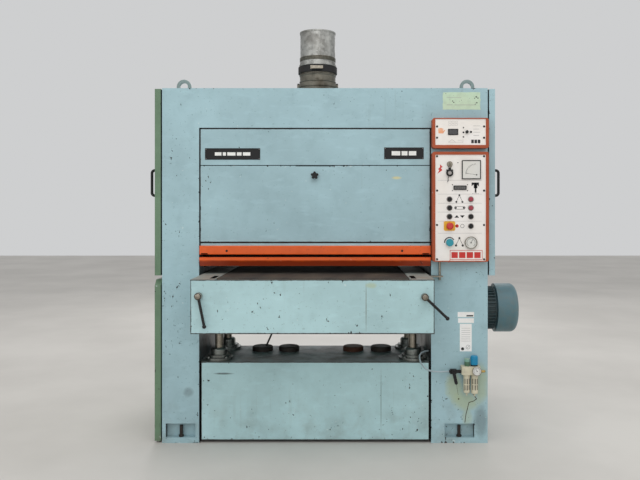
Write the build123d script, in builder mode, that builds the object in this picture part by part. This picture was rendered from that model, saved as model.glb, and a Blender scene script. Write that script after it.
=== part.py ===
from build123d import *
import os
from math import acos, cos, pi, radians, sin, tan

os.makedirs("parts", exist_ok=True)

# Wide-belt sander, millimetres. The floor is z = 0, the operator stands on the -Y side,
# and the origin is the centre of the four floor anchors.

# ---------------------------------------------------------------- driving dimensions
frame_width = 1670.0
frame_depth = 900.0
frame_height = 1820.0
left_column_width = 190.0
right_column_width = 290.0
plate = 6.0  # welded frame plate
skin = 3.0  # folded sheet of covers and doors
foot_plate = 8.0  # floor of each column
panel_gap = 4.0  # seam between a loose panel and the frame
panel_depth = 25.0  # how deep the front panels are folded

shaft_fit = 0.05  # radial clearance of a shaft in its bore
free_gap = 0.5  # radial clearance where nothing bears
belt_lift = 0.3  # air between a pulley or roller and the belt round it

# sanding head
drum_depth = 250.0  # drum axis behind the frame front
pass_line = 905.0  # lowest point of the abrasive belt
drum_diameter = 200.0
drum_length = 1030.0
drum_shaft_diameter = 50.0
abrasive_thickness = 1.5
abrasive_width = 1020.0
roller_distance = 700.0  # drum axis to tension roller axis
tension_roller_diameter = 120.0
tension_shaft_diameter = 25.0
tension_travel = 20.0
head_beam_width = 120.0
head_beam_gap = 33.2  # air between the drum and the beam over it
head_beam_height = 280.0
bearing_width = 35.0
bearing_gap = 12.0
hold_down_diameter = 60.0
hold_down_length = 1100.0
hold_down_offset = 170.0
hold_down_drop = 3.0  # the rollers hang this far under the pass line
hold_down_shaft_diameter = 20.0

# front panels
hood_bottom = 1613.0
strip_bottom = 1424.0
door_bottom = 1029.0
rail_top = 1024.0
rail_bottom = 1012.0
guard_bottom = 967.0
safety_bar_top = 953.0
safety_bar_bottom = 909.0
hinge_pin_diameter = 10.0

# side doors
side_door_gap = 8.0
side_door_thickness = 31.0
side_door_bottom = 859.0
side_door_top = 1817.0
side_door_rim = 25.0
lower_panel_bottom = 10.0
lower_panel_top = 836.0
handle_bar_diameter = 14.0
handle_reach = 36.0
handle_bottom = 1263.0
handle_top = 1408.0

# table
table_width = 1150.0
table_length = 1060.0
table_overhang = 300.0  # how far it stands out in front of the frame
table_top = 868.0
table_bottom = 612.0
table_sheet = 5.0
conveyor_width = 926.0
conveyor_thickness = 3.0
conveyor_proud = 1.5
feed_roller_diameter = 90.0
feed_shaft_diameter = 25.0
feed_roller_setback = 60.0

# base and lift
base_depth = 440.0
deck_top = 414.0
base_clearance = 15.0
base_slot = 10.0  # dark gap between the base's front plate and each column
screw_diameter = 42.0
screw_spacing = 1016.0
front_screw_depth = 90.0
rear_screw_depth = 370.0
screw_tail = 140.0  # lower end of the screws with the table at rest
jack_flange_diameter = 147.0
jack_step_diameter = 112.0
jack_hub_diameter = 84.0
jack_body_diameter = 58.0
jack_top = 475.0

# feet
window_width = 152.0
window_bottom = 28.0
window_top = 100.0
pocket_depth = 34.0
levelling_bolt_diameter = 17.0
anchor_spacing_x = 1430.0
anchor_spacing_y = 600.0
anchor_hole_diameter = 18.0

# motor and drive
motor_depth = 530.0
motor_height = 622.0
motor_diameter = 250.0
motor_flange_diameter = 300.0
motor_flange_thickness = 15.0
motor_length = 142.0  # frame side to fan cowl
cowl_diameter = 282.0
cowl_length = 122.0
cowl_round = 34.0
motor_shaft_diameter = 38.0
motor_pulley_diameter = 190.0
drum_pulley_diameter = 160.0
pulley_width = 60.0
pulley_inset = 90.0  # pulleys' outer face, in from the frame's right side
vee_belt_width = 13.0
vee_belt_thickness = 9.0
vee_belt_count = 3

# extraction
duct_depth = 350.0
collar_diameter = 200.0
pipe_diameter = 196.0
duct_sheet = 3.0
duct_top = 2188.0
collar_top = 1971.0
clamp_bottom = 1957.0
clamp_top = 1992.0

# controls
box_proud = 50.0
box_sheet = 3.0
box_side_lip = 15.0
box_corner = 12.0
upper_box = (1508.0, 1661.0)
lower_box = (933.0, 1490.0)
button_diameter = 22.0
button_proud = 9.0
button_heights = (317.0, 273.0, 229.0, 181.0)  # above the foot of the lower box
knob_height = 98.0  # tension knob and gauge, above the foot of the lower box
meter_height = 466.0  # middle of the ammeter, above the foot of the lower box

# air service unit
air_reach = 37.0  # its axis in front of the frame
air_z = 376.0
hose_diameter = 8.0

# ---------------------------------------------------------------- derived places
x_left = -frame_width / 2
x_right = frame_width / 2
x_bay_left = x_left + left_column_width
x_bay_right = x_right - right_column_width
x_bay = (x_bay_left + x_bay_right) / 2
y_front = -frame_depth / 2
y_rear = frame_depth / 2
x_left_foot = (x_left + x_bay_left) / 2
x_right_foot = (x_right + x_bay_right) / 2

drum_radius = drum_diameter / 2
tension_radius = tension_roller_diameter / 2
y_drum = y_front + drum_depth
z_drum = pass_line + abrasive_thickness + belt_lift + drum_radius
z_tension = z_drum + roller_distance
head_beam_bottom = z_drum + drum_radius + head_beam_gap
head_beam_top = head_beam_bottom + head_beam_height
x_drum_left = x_bay - drum_length / 2
x_drum_right = x_bay + drum_length / 2
z_hold_down = pass_line - hold_down_drop + hold_down_diameter / 2

hinge_radius = hinge_pin_diameter / 2
y_door_hinge = y_front + 10.0
z_door_hinge = door_bottom + 8.0
y_bar_hinge = y_front + 12.0
z_bar_hinge = safety_bar_top - 8.0

y_table_front = y_front - table_overhang
y_table_rear = y_table_front + table_length
x_table_left = x_bay - table_width / 2
x_table_right = x_bay + table_width / 2
conveyor_top = table_top + conveyor_proud
feed_radius = feed_roller_diameter / 2
z_feed_roller = conveyor_top - conveyor_thickness - belt_lift - feed_radius
y_tail_roller = y_table_front + feed_roller_setback
y_drive_roller = y_table_rear - feed_roller_setback
x_belt_left = x_bay - conveyor_width / 2
x_belt_right = x_bay + conveyor_width / 2

screw_places = [
    (x_bay + side * screw_spacing / 2, y_front + depth)
    for depth in (front_screw_depth, rear_screw_depth)
    for side in (-1, 1)
]
y_motor = y_front + motor_depth
x_pulley_right = x_right - pulley_inset
x_pulley_left = x_pulley_right - pulley_width
y_duct = y_front + duct_depth
duct_x = x_bay
y_side_front = y_front + panel_gap
y_side_rear = y_rear - 12.0
y_side_hinge = y_rear + 2.0
y_box_front = y_front - box_proud
y_plate = y_box_front + box_sheet  # front face of the control plates
y_handle = y_front + 60.0
x_control_left = x_bay_right + 87.0  # the two columns of controls
x_control_right = x_bay_right + 195.0
y_air = y_front - air_reach


# ---------------------------------------------------------------- shape helpers
def block(x0, x1, y0, y1, z0, z1, mode=Mode.ADD):
    """A box between two corners, in the current part."""
    with Locations(((x0 + x1) / 2, (y0 + y1) / 2, (z0 + z1) / 2)):
        Box(x1 - x0, y1 - y0, z1 - z0, mode=mode)


def rod_x(radius, x0, x1, y, z, mode=Mode.ADD):
    """A round bar along X."""
    with Locations(Location(((x0 + x1) / 2, y, z), (0, 90, 0))):
        Cylinder(radius, x1 - x0, mode=mode)


def rod_y(radius, x, y0, y1, z, mode=Mode.ADD):
    """A round bar along Y."""
    with Locations(Location((x, (y0 + y1) / 2, z), (90, 0, 0))):
        Cylinder(radius, y1 - y0, mode=mode)


def rod_z(radius, x, y, z0, z1, mode=Mode.ADD):
    """A round bar along Z."""
    with Locations((x, y, (z0 + z1) / 2)):
        Cylinder(radius, z1 - z0, mode=mode)


def facing_front(y):
    """The plane at depth y that faces the operator, with X across and Z up."""
    return Plane.XZ.offset(-y)


def loop_sketch(centre_a, radius_a, centre_b, radius_b, mode=Mode.ADD):
    """The outline of an open belt round two circles, in the current sketch."""
    across = Vector(*centre_b) - Vector(*centre_a)
    along = across.normalized()
    side = Vector(-along.Y, along.X)
    turn = acos((radius_a - radius_b) / across.length)
    ways = [along * cos(turn) + side * (sign * sin(turn)) for sign in (1, -1)]
    a, b = Vector(*centre_a), Vector(*centre_b)
    corners = [
        a + ways[0] * radius_a,
        b + ways[0] * radius_b,
        b + ways[1] * radius_b,
        a + ways[1] * radius_a,
    ]
    Polygon(*[(c.X, c.Y) for c in corners], align=None, mode=mode)
    with Locations(centre_a):
        Circle(radius_a, mode=mode)
    with Locations(centre_b):
        Circle(radius_b, mode=mode)


def belt_loop(x0, width, centre_a, radius_a, centre_b, radius_b, thickness):
    """A belt of the given thickness round two rollers on X axes, lifted clear of both."""
    inner_a, inner_b = radius_a + belt_lift, radius_b + belt_lift
    with BuildSketch(Plane.YZ.offset(x0)) as section:
        loop_sketch(centre_a, inner_a + thickness, centre_b, inner_b + thickness)
        loop_sketch(centre_a, inner_a, centre_b, inner_b, mode=Mode.SUBTRACT)
    extrude(section.sketch, amount=width)


def save(builder, name):
    """Label a finished piece and write it as its own file."""
    builder.part.label = name
    export_step(builder.part, f"parts/{name}.step")


# ---------------------------------------------------------------- columns
side_hinge_heights = (side_door_bottom + 120.0, side_door_top - 160.0)
hinge_barrel_height = 40.0
hinge_lug_height = 32.0
hinge_barrel_radius = 8.0
x_left_hinge = x_left - side_door_gap - side_door_thickness / 2
x_right_hinge = x_right + side_door_gap + side_door_thickness / 2


def foot_pocket(x_foot, end):
    """The recess at one end of a column's foot, with the hole of its levelling bolt."""
    y_face = end * frame_depth / 2
    y_back = y_face - end * (pocket_depth + plate)
    y_low, y_high = sorted((y_face, y_back))
    half = window_width / 2
    block(x_foot - half - plate, x_foot + half + plate, y_low, y_high, 0, window_top + plate)
    y_cut = sorted((y_face + end * plate, y_face - end * pocket_depth))
    block(x_foot - half, x_foot + half, *y_cut, window_bottom, window_top, Mode.SUBTRACT)
    y_bolt = y_face - end * pocket_depth / 2
    bolt_hole = levelling_bolt_diameter / 2 + free_gap
    rod_z(bolt_hole, x_foot, y_bolt, -1, window_bottom + 1, Mode.SUBTRACT)


def column_shell(x0, x1, x_foot, outer):
    """What both columns share; outer is -1 for the left one and +1 for the right one."""
    block(x0, x1, y_front, y_rear, 0, frame_height)
    inside = (x0 + plate, x1 - plate, y_front + plate, y_rear - plate)
    block(*inside, foot_plate, frame_height - plate, Mode.SUBTRACT)
    x_side = x1 if outer > 0 else x0
    block(
        x_side - 2 * plate, x_side + 2 * plate,
        y_front + 2 * side_door_rim, y_rear - 2 * side_door_rim,
        side_door_bottom + side_door_rim, side_door_top - side_door_rim,
        Mode.SUBTRACT,
    )
    for end in (-1, 1):
        foot_pocket(x_foot, end)
        y_anchor = end * anchor_spacing_y / 2
        x_anchor = outer * anchor_spacing_x / 2
        rod_z(anchor_hole_diameter / 2, x_anchor, y_anchor, -1, foot_plate + 1, Mode.SUBTRACT)


def bay_wall_bores(x_wall):
    """Bores in a column's bay wall for the roller shafts and the front pivots."""
    x0, x1 = x_wall - 2 * plate, x_wall + 2 * plate
    shaft = hold_down_shaft_diameter / 2 + shaft_fit
    for offset in (-hold_down_offset, hold_down_offset):
        rod_x(shaft, x0, x1, y_drum + offset, z_hold_down, Mode.SUBTRACT)
    rod_x(hinge_radius + shaft_fit, x0, x1, y_door_hinge, z_door_hinge, Mode.SUBTRACT)
    rod_x(hinge_radius + shaft_fit, x0, x1, y_bar_hinge, z_bar_hinge, Mode.SUBTRACT)


def side_hinge_lugs(x_axis, x_frame):
    """Lugs on the column's rear corner, each with the pin that a door barrel drops on."""
    for z in side_hinge_heights:
        x0, x1 = sorted((x_axis, x_frame - 15.0 * (1 if x_frame > 0 else -1)))
        block(x0, x1, y_rear - plate, y_side_hinge + hinge_barrel_radius, z - hinge_lug_height, z - 1)
        rod_z(hinge_barrel_radius, x_axis, y_side_hinge, z - hinge_lug_height, z - 1)
        rod_z(hinge_radius, x_axis, y_side_hinge, z - 2, z + hinge_barrel_height - 4)


with BuildPart() as left_column:
    column_shell(x_left, x_bay_left, x_left_foot, -1)
    bay_wall_bores(x_bay_left)
    aperture_half = drum_radius + side_door_rim
    block(
        x_bay_left - 2 * plate, x_bay_left + 2 * plate,
        y_drum - aperture_half, y_drum + aperture_half,
        side_door_bottom + 31.0, z_tension + tension_radius + side_door_rim,
        Mode.SUBTRACT,
    )
    side_hinge_lugs(x_left_hinge, x_left)
save(left_column, "left_column")

gland_place = (y_front + 67.0, air_z + 84.0)  # y and z of the hose gland in the bay wall
gland_radius = 6.0
motor_window = motor_pulley_diameter / 2 - side_door_rim
with BuildPart() as right_column:
    column_shell(x_bay_right, x_right, x_right_foot, 1)
    bay_wall_bores(x_bay_right)
    drum_passage = drum_shaft_diameter / 2 + bearing_gap
    rod_x(drum_passage, x_bay_right - plate, x_bay_right + 2 * plate, y_drum, z_drum, Mode.SUBTRACT)
    rod_x(motor_window, x_right - 2 * plate, x_right + plate, y_motor, motor_height, Mode.SUBTRACT)
    rod_x(gland_radius, x_bay_right - plate, x_bay_right + 2 * plate, *gland_place, Mode.SUBTRACT)
    side_hinge_lugs(x_right_hinge, x_right)
save(right_column, "right_column")

# ---------------------------------------------------------------- base, deck and feet
with BuildPart() as base_beam:
    base_face = y_front + skin
    x_slots = (x_bay_left + base_slot, x_bay_right - base_slot)
    block(*x_slots, base_face, base_face + plate, base_clearance, deck_top)
    block(*x_slots, base_face, base_face + 40.0, deck_top - plate, deck_top)
    block(x_bay_left, x_bay_right, base_face + 30.0, y_front + base_depth, deck_top - plate, deck_top)
    y_back = y_front + base_depth
    block(x_bay_left, x_bay_right, y_back - plate, y_back, base_clearance, deck_top)
    jack_hole = jack_body_diameter / 2 + free_gap
    for x, y in screw_places:
        rod_z(jack_hole, x, y, deck_top - 2 * plate, deck_top + plate, Mode.SUBTRACT)
save(base_beam, "base_beam")

jack_step = 13.0  # height of each flange ring
with BuildPart() as jack_housings:
    for x, y in screw_places:
        rod_z(jack_body_diameter / 2, x, y, deck_top - 80.0, deck_top + jack_step)
        rod_z(jack_flange_diameter / 2, x, y, deck_top, deck_top + jack_step)
        rod_z(jack_step_diameter / 2, x, y, deck_top + jack_step, deck_top + 2 * jack_step)
        rod_z(jack_hub_diameter / 2, x, y, deck_top + 2 * jack_step, jack_top)
    hub_rims = jack_housings.edges().filter_by(GeomType.CIRCLE).group_by(Axis.Z)[-1]
    fillet(hub_rims, radius=12.0)
    for x, y in screw_places:
        rod_z(screw_diameter / 2 + shaft_fit, x, y, deck_top - 100.0, jack_top + 1, Mode.SUBTRACT)
save(jack_housings, "jack_housings")

loose_pad_radius = 57.0
loose_pad_height = 25.0
loose_pad_offsets = (-305.0, -158.0, 199.0, 353.0)
with BuildPart() as levelling_feet:
    for x_foot in (x_left_foot, x_right_foot):
        for end in (-1, 1):
            y_bolt = end * (frame_depth / 2 - pocket_depth / 2)
            rod_z(levelling_bolt_diameter / 2, x_foot, y_bolt, 0, window_top - 13)
            with BuildSketch(Plane.XY.offset(window_bottom + 1)):
                with Locations((x_foot, y_bolt)):
                    RegularPolygon(levelling_bolt_diameter * 0.8, 6)
            extrude(amount=9.0)
    for offset in loose_pad_offsets:
        x, y = x_bay + offset, y_front + 313.0
        with BuildSketch(Plane.XY.offset(deck_top)):
            with Locations((x, y)):
                Circle(loose_pad_radius)
        extrude(amount=loose_pad_height)
    fillet(levelling_feet.edges().filter_by(GeomType.CIRCLE).group_by(Axis.Z)[-1], radius=8.0)
save(levelling_feet, "levelling_feet")

# ---------------------------------------------------------------- hood, strip, rail, rear cover
with BuildPart() as head_hood:
    block(x_bay_left, x_bay_right, y_front, y_rear, frame_height - plate, frame_height)
    block(x_bay_left, x_bay_right, y_front, y_front + plate, hood_bottom + panel_gap, frame_height)
    outlet = collar_diameter / 2 - duct_sheet
    rod_z(outlet, duct_x, y_duct, frame_height - 2 * plate, frame_height + 1, Mode.SUBTRACT)
save(head_hood, "head_hood")

panel_face = y_front + 2.0  # the loose panels sit a little behind the frame's front
x_panel_left = x_bay_left + panel_gap
x_panel_right = x_bay_right - panel_gap
with BuildPart() as front_frame:
    block(x_panel_left, x_panel_right, panel_face, panel_face + panel_depth, strip_bottom + 2, hood_bottom)
    top_corners = front_frame.edges().filter_by(Axis.Y).group_by(Axis.Z)[-1]
    fillet(top_corners, radius=12.0)
    block(
        x_panel_left + skin, x_panel_right - skin,
        panel_face + skin, panel_face + panel_depth + 1,
        strip_bottom + 2 + skin, hood_bottom - 12.0,
        Mode.SUBTRACT,
    )
    block(x_bay_left, x_bay_right, panel_face, panel_face + 30.0, rail_bottom, rail_top)
save(front_frame, "front_frame")

rear_opening_top = 960.0
with BuildPart() as rear_cover:
    block(x_bay_left, x_bay_right, y_rear - skin, y_rear, rear_opening_top, frame_height - plate)
    block(x_bay_left, x_bay_right, y_rear - 30.0, y_rear, rear_opening_top, rear_opening_top + skin)
save(rear_cover, "rear_cover")

with BuildPart() as guard_bar:
    block(x_panel_left, x_panel_right, y_front - 12.0, panel_face + 8.0, guard_bottom, rail_bottom)
    fillet(guard_bar.edges().filter_by(Axis.X).group_by(Axis.Y)[0], radius=4.0)
    for offset in (-452.0, 445.0):
        rod_y(6.0, x_bay + offset, y_front - 13.0, y_front - 4.0, guard_bottom + 19.0, Mode.SUBTRACT)
save(guard_bar, "guard_bar")

# ---------------------------------------------------------------- front door and its knob
x_knob = x_bay - 2.0
z_knob = strip_bottom - 52.0
knob_shaft_radius = 5.0
with BuildPart() as front_door:
    door_back = panel_face + panel_depth
    block(x_panel_left, x_panel_right, panel_face, door_back, door_bottom, strip_bottom - 2)
    block(
        x_panel_left + skin, x_panel_right - skin,
        panel_face + skin, door_back + 1,
        door_bottom + skin, strip_bottom - 2 - skin,
        Mode.SUBTRACT,
    )
    knob_bore = knob_shaft_radius + shaft_fit
    rod_y(knob_bore, x_knob, panel_face - 1, panel_face + skin + 1, z_knob, Mode.SUBTRACT)
    for x_wall, side in ((x_bay_left, -1), (x_bay_right, 1)):
        x_ends = sorted((x_wall + side * plate, x_wall - side * (panel_gap + 20.0)))
        rod_x(hinge_radius, *x_ends, y_door_hinge, z_door_hinge)
save(front_door, "front_door")

knob_radius = 20.0
with BuildPart() as door_knob:
    rod_y(knob_shaft_radius, x_knob, panel_face - 20.0, panel_face + skin + 10.0, z_knob)
    rod_y(11.0, x_knob, panel_face - 16.0, panel_face - 1.0, z_knob)
    with BuildSketch(facing_front(panel_face - 10.0)):
        with Locations((x_knob, z_knob)):
            Circle(14.0)
            with PolarLocations(knob_radius - 6.5, 5, start_angle=90):
                Circle(6.5)
    extrude(amount=16.0)
    fillet(door_knob.edges().group_by(Axis.Y)[0], radius=2.0)
    block(x_knob - 8, x_knob + 8, panel_face + skin + 3, panel_face + skin + 8, z_knob - 8, z_knob + 30)
save(door_knob, "door_knob")

# ---------------------------------------------------------------- hinged safety bar
with BuildPart() as safety_bar:
    with BuildSketch(Plane.YZ.offset(x_panel_left)):
        Polygon(
            (y_front - 16.0, safety_bar_top), (y_front - 16.0, safety_bar_top - 15.0),
            (y_front - 2.0, safety_bar_bottom), (y_front + 6.0, safety_bar_bottom),
            (y_front + 18.0, safety_bar_top - 18.0), (y_front + 18.0, safety_bar_top), align=None,
        )
    extrude(amount=x_panel_right - x_panel_left)
    rod_x(hinge_radius, x_bay_left - plate, x_bay_right + plate, y_bar_hinge, z_bar_hinge)
save(safety_bar, "safety_bar")

# ---------------------------------------------------------------- side doors and lower panel
def side_door(side, x_hinge):
    """A folded sheet door beside a column, with two barrels at its rear edge."""
    x_inner = side * (frame_width / 2 + side_door_gap)
    x_outer = x_inner + side * side_door_thickness
    x0, x1 = sorted((x_inner, x_outer))
    block(x0, x1, y_side_front, y_side_rear, side_door_bottom, side_door_top)
    outer_rim = edges().group_by(Axis.X)[-1 if side > 0 else 0]
    fillet(outer_rim, radius=2.0)
    cut = sorted((x_inner - side * 1.0, x_outer - side * skin))
    block(
        *cut, y_side_front + skin, y_side_rear - skin,
        side_door_bottom + skin, side_door_top - skin, Mode.SUBTRACT,
    )
    for z in side_hinge_heights:
        block(x_hinge - 4, x_hinge + 4, y_side_rear - 2, y_side_hinge, z, z + hinge_barrel_height)
        rod_z(hinge_barrel_radius, x_hinge, y_side_hinge, z, z + hinge_barrel_height)
        bore = hinge_radius + shaft_fit
        rod_z(bore, x_hinge, y_side_hinge, z - 1, z + hinge_barrel_height - 2, Mode.SUBTRACT)


def handle(side):
    """A round-bar handle, bent at both ends, standing off a side door."""
    x_face = side * (frame_width / 2 + side_door_gap + side_door_thickness)
    x_grip = x_face + side * (handle_reach - handle_bar_diameter / 2)
    z0 = handle_bottom + handle_bar_diameter / 2
    z1 = handle_top - handle_bar_diameter / 2
    corners = [(x, y_handle, z) for x, z in ((x_face, z0), (x_grip, z0), (x_grip, z1), (x_face, z1))]
    with BuildLine() as bent:
        FilletPolyline(*corners, radius=handle_bar_diameter)
    with BuildSketch(Plane(origin=corners[0], z_dir=(side, 0, 0))) as section:
        Circle(handle_bar_diameter / 2)
    sweep(section.sketch, path=bent.line)


with BuildPart() as belt_door:
    side_door(-1, x_left_hinge)
save(belt_door, "belt_door")

with BuildPart() as drive_door:
    side_door(1, x_right_hinge)
save(drive_door, "drive_door")

with BuildPart() as belt_door_handle:
    handle(-1)
save(belt_door_handle, "belt_door_handle")

with BuildPart() as drive_door_handle:
    handle(1)
save(drive_door_handle, "drive_door_handle")

with BuildPart() as left_lower_panel:
    x_inner = x_left - side_door_gap
    x_outer = x_inner - side_door_thickness
    block(x_outer, x_inner, y_side_front, y_side_rear, lower_panel_bottom, lower_panel_top)
    top_front = left_lower_panel.edges().filter_by(Axis.X).group_by(Axis.Z)[-1].sort_by(Axis.Y)[0]
    chamfer(top_front, length=30.0)
    block(
        x_outer + skin, x_inner + 1, y_side_front + 40.0, y_side_rear - skin,
        lower_panel_bottom + skin, lower_panel_top - 40.0, Mode.SUBTRACT,
    )
    for y in (y_side_front + 60.0, y_side_rear - 20.0):
        for z in (lower_panel_bottom + 60.0, lower_panel_top - 60.0):
            rod_x(10.0, x_outer + 1, x_left, y, z)
save(left_lower_panel, "left_lower_panel")

# ---------------------------------------------------------------- lifting eyes
eye_outer = 39.0
eye_bore = 21.5
eye_thickness = 18.0
eye_x = x_right - 85.0
eye_y = y_front + 125.0
z_eye = frame_height + 27.0
with BuildPart() as lifting_eyes:
    for x in (-eye_x, eye_x):
        rod_y(eye_outer, x, eye_y - eye_thickness / 2, eye_y + eye_thickness / 2, z_eye)
    fillet(lifting_eyes.edges().filter_by(GeomType.CIRCLE), radius=6.0)
    for x in (-eye_x, eye_x):
        rod_z(20.0, x, eye_y, frame_height, frame_height + 5)
        rod_y(eye_bore, x, eye_y - eye_thickness, eye_y + eye_thickness, z_eye, Mode.SUBTRACT)
        block(x - 60, x + 60, eye_y - 60, eye_y + 60, frame_height - 60, frame_height, Mode.SUBTRACT)
save(lifting_eyes, "lifting_eyes")

# ---------------------------------------------------------------- extraction outlet
collar_radius = collar_diameter / 2
pipe_radius = pipe_diameter / 2
with BuildPart() as extraction_collar:
    rod_z(collar_radius + 20.0, duct_x, y_duct, frame_height, frame_height + 4)
    rod_z(collar_radius, duct_x, y_duct, frame_height, collar_top)
    rod_z(collar_radius + 7.0, duct_x, y_duct, frame_height + 60.0, frame_height + 78.0)
    block(duct_x - 115, duct_x + 115, y_duct - 14, y_duct + 14, frame_height + 62.0, frame_height + 76.0)
    rod_z(collar_radius - duct_sheet, duct_x, y_duct, frame_height - 1, collar_top + 1, Mode.SUBTRACT)
save(extraction_collar, "extraction_collar")

with BuildPart() as clamp_ring:
    rod_z(collar_radius + 9.0, duct_x, y_duct, clamp_bottom, clamp_top)
    y_lug = y_duct - collar_radius
    block(duct_x - 22, duct_x + 22, y_lug - 22, y_lug, clamp_bottom + 5, clamp_top - 5)
    rod_z(collar_radius, duct_x, y_duct, clamp_bottom - 1, clamp_top + 1, Mode.SUBTRACT)
save(clamp_ring, "clamp_ring")

with BuildPart() as duct_pipe:
    rod_z(collar_radius, duct_x, y_duct, collar_top, clamp_top + 30.0)
    rod_z(pipe_radius, duct_x, y_duct, clamp_top, duct_top)
    rod_z(pipe_radius + 2.5, duct_x, y_duct, duct_top - 8.0, duct_top)
    rod_z(collar_radius + 4.0, duct_x, y_duct, clamp_top + 6.0, clamp_top + 12.0)
    rod_z(pipe_radius - duct_sheet, duct_x, y_duct, collar_top - 1, duct_top + 1, Mode.SUBTRACT)
save(duct_pipe, "duct_pipe")

# ---------------------------------------------------------------- sanding head
beam_half = head_beam_width / 2
x_beam_left = x_drum_left - bearing_gap - bearing_width
beam_wall = 8.0
beam_flange = 20.0
cylinder_top = head_beam_top + 100.0
with BuildPart() as head_beam:
    beam_y = (y_drum - beam_half, y_drum + beam_half)
    block(x_beam_left, x_bay_right - beam_flange, *beam_y, head_beam_bottom, head_beam_top)
    block(
        x_beam_left + beam_wall, x_bay_right - beam_flange - beam_wall,
        beam_y[0] + beam_wall, beam_y[1] - beam_wall,
        head_beam_bottom + beam_wall, head_beam_top - beam_wall, Mode.SUBTRACT,
    )
    block(
        x_bay_right - beam_flange, x_bay_right, beam_y[0] - 50.0, beam_y[1] + 50.0,
        head_beam_bottom - 40.0, head_beam_top + 40.0,
    )
    for x0 in (x_beam_left, x_drum_right + bearing_gap):
        block(x0, x0 + bearing_width, y_drum - 55.0, y_drum + 55.0, z_drum, head_beam_bottom)
        rod_x(55.0, x0, x0 + bearing_width, y_drum, z_drum)
        bore = drum_shaft_diameter / 2 + shaft_fit
        rod_x(bore, x0 - 1, x0 + bearing_width + 1, y_drum, z_drum, Mode.SUBTRACT)
    rod_z(50.0, x_bay, y_drum, head_beam_top, cylinder_top)
    rod_z(40.0, x_bay, y_drum, head_beam_top + beam_wall, cylinder_top - beam_wall, Mode.SUBTRACT)
    rod_bore = tension_shaft_diameter / 2 + shaft_fit
    rod_z(rod_bore, x_bay, y_drum, head_beam_top + 50.0, cylinder_top + 1, Mode.SUBTRACT)
save(head_beam, "head_beam")


def roller_tube(radius, wall, x0, x1, y, z):
    """A welded roller tube: a round shell with a disc in each end."""
    rod_x(radius, x0, x1, y, z)
    rod_x(radius - wall, x0 + 2 * plate, x1 - 2 * plate, y, z, Mode.SUBTRACT)


drum_wall = 22.0
roller_wall = 10.0
with BuildPart() as contact_drum:
    roller_tube(drum_radius, drum_wall, x_drum_left, x_drum_right, y_drum, z_drum)
    rod_x(drum_shaft_diameter / 2, x_beam_left - 5.0, x_pulley_right + 8.0, y_drum, z_drum)
    rod_x(drum_pulley_diameter / 2, x_pulley_left, x_pulley_right, y_drum, z_drum)
save(contact_drum, "contact_drum")

yoke_half = 20.0
yoke_arm = 15.0
yoke_bottom = cylinder_top + tension_travel + 20.0
x_yoke_left = x_drum_left - yoke_arm - 10.0
x_yoke_right = x_drum_right + yoke_arm + 10.0
with BuildPart() as tension_yoke:
    yoke_y = (y_drum - yoke_half, y_drum + yoke_half)
    rod_z(tension_shaft_diameter / 2, x_bay, y_drum, head_beam_top + tension_travel + 15.0, yoke_bottom)
    block(x_yoke_left, x_yoke_right, *yoke_y, yoke_bottom, yoke_bottom + 40.0)
    for x0 in (x_yoke_left, x_yoke_right - yoke_arm):
        block(x0, x0 + yoke_arm, *yoke_y, yoke_bottom, z_tension + 25.0)
        bore = tension_shaft_diameter / 2 + shaft_fit
        rod_x(bore, x0 - 1, x0 + yoke_arm + 1, y_drum, z_tension, Mode.SUBTRACT)
save(tension_yoke, "tension_yoke")

with BuildPart() as tension_roller:
    roller_tube(tension_radius, roller_wall, x_drum_left, x_drum_right, y_drum, z_tension)
    rod_x(tension_shaft_diameter / 2, x_yoke_left, x_yoke_right, y_drum, z_tension)
save(tension_roller, "tension_roller")

with BuildPart() as abrasive_belt:
    belt_loop(
        x_bay - abrasive_width / 2, abrasive_width,
        (y_drum, z_drum), drum_radius, (y_drum, z_tension), tension_radius, abrasive_thickness,
    )
save(abrasive_belt, "abrasive_belt")


def hold_down_roller(y):
    """A rubber-covered roller across the bay, its shaft in both bay walls."""
    half = hold_down_length / 2
    roller_tube(hold_down_diameter / 2, roller_wall, x_bay - half, x_bay + half, y, z_hold_down)
    rod_x(hold_down_shaft_diameter / 2, x_bay_left - plate, x_bay_right + plate, y, z_hold_down)


with BuildPart() as front_hold_down_roller:
    hold_down_roller(y_drum - hold_down_offset)
save(front_hold_down_roller, "front_hold_down_roller")

with BuildPart() as rear_hold_down_roller:
    hold_down_roller(y_drum + hold_down_offset)
save(rear_hold_down_roller, "rear_hold_down_roller")

# ---------------------------------------------------------------- motor and vee belts
motor_radius = motor_diameter / 2
cowl_radius = cowl_diameter / 2
x_motor_face = x_right + motor_flange_thickness
x_cowl = x_right + motor_length
motor_bore = motor_shaft_diameter / 2 + shaft_fit
rotor_radius = 70.0
fin_count = 36
with BuildPart() as motor_housing:
    rod_x(motor_flange_diameter / 2, x_right, x_motor_face, y_motor, motor_height)
    rod_x(motor_radius - 14.0, x_right, x_cowl, y_motor, motor_height)
    with Locations(Location(((x_motor_face + x_cowl) / 2 + 6, y_motor, motor_height), (0, 90, 0))):
        with PolarLocations(motor_radius - 9.0, fin_count):
            Box(18.0, 4.0, x_cowl - x_motor_face - 30.0)
    block(x_motor_face + 30, x_cowl - 40, y_motor + 90, y_motor + 165, motor_height - 45, motor_height + 45)
    rod_x(rotor_radius + 3, x_motor_face + 15, x_cowl - 18, y_motor, motor_height, Mode.SUBTRACT)
    rod_x(motor_bore, x_right - 1, x_cowl + 1, y_motor, motor_height, Mode.SUBTRACT)
save(motor_housing, "motor_housing")

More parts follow.
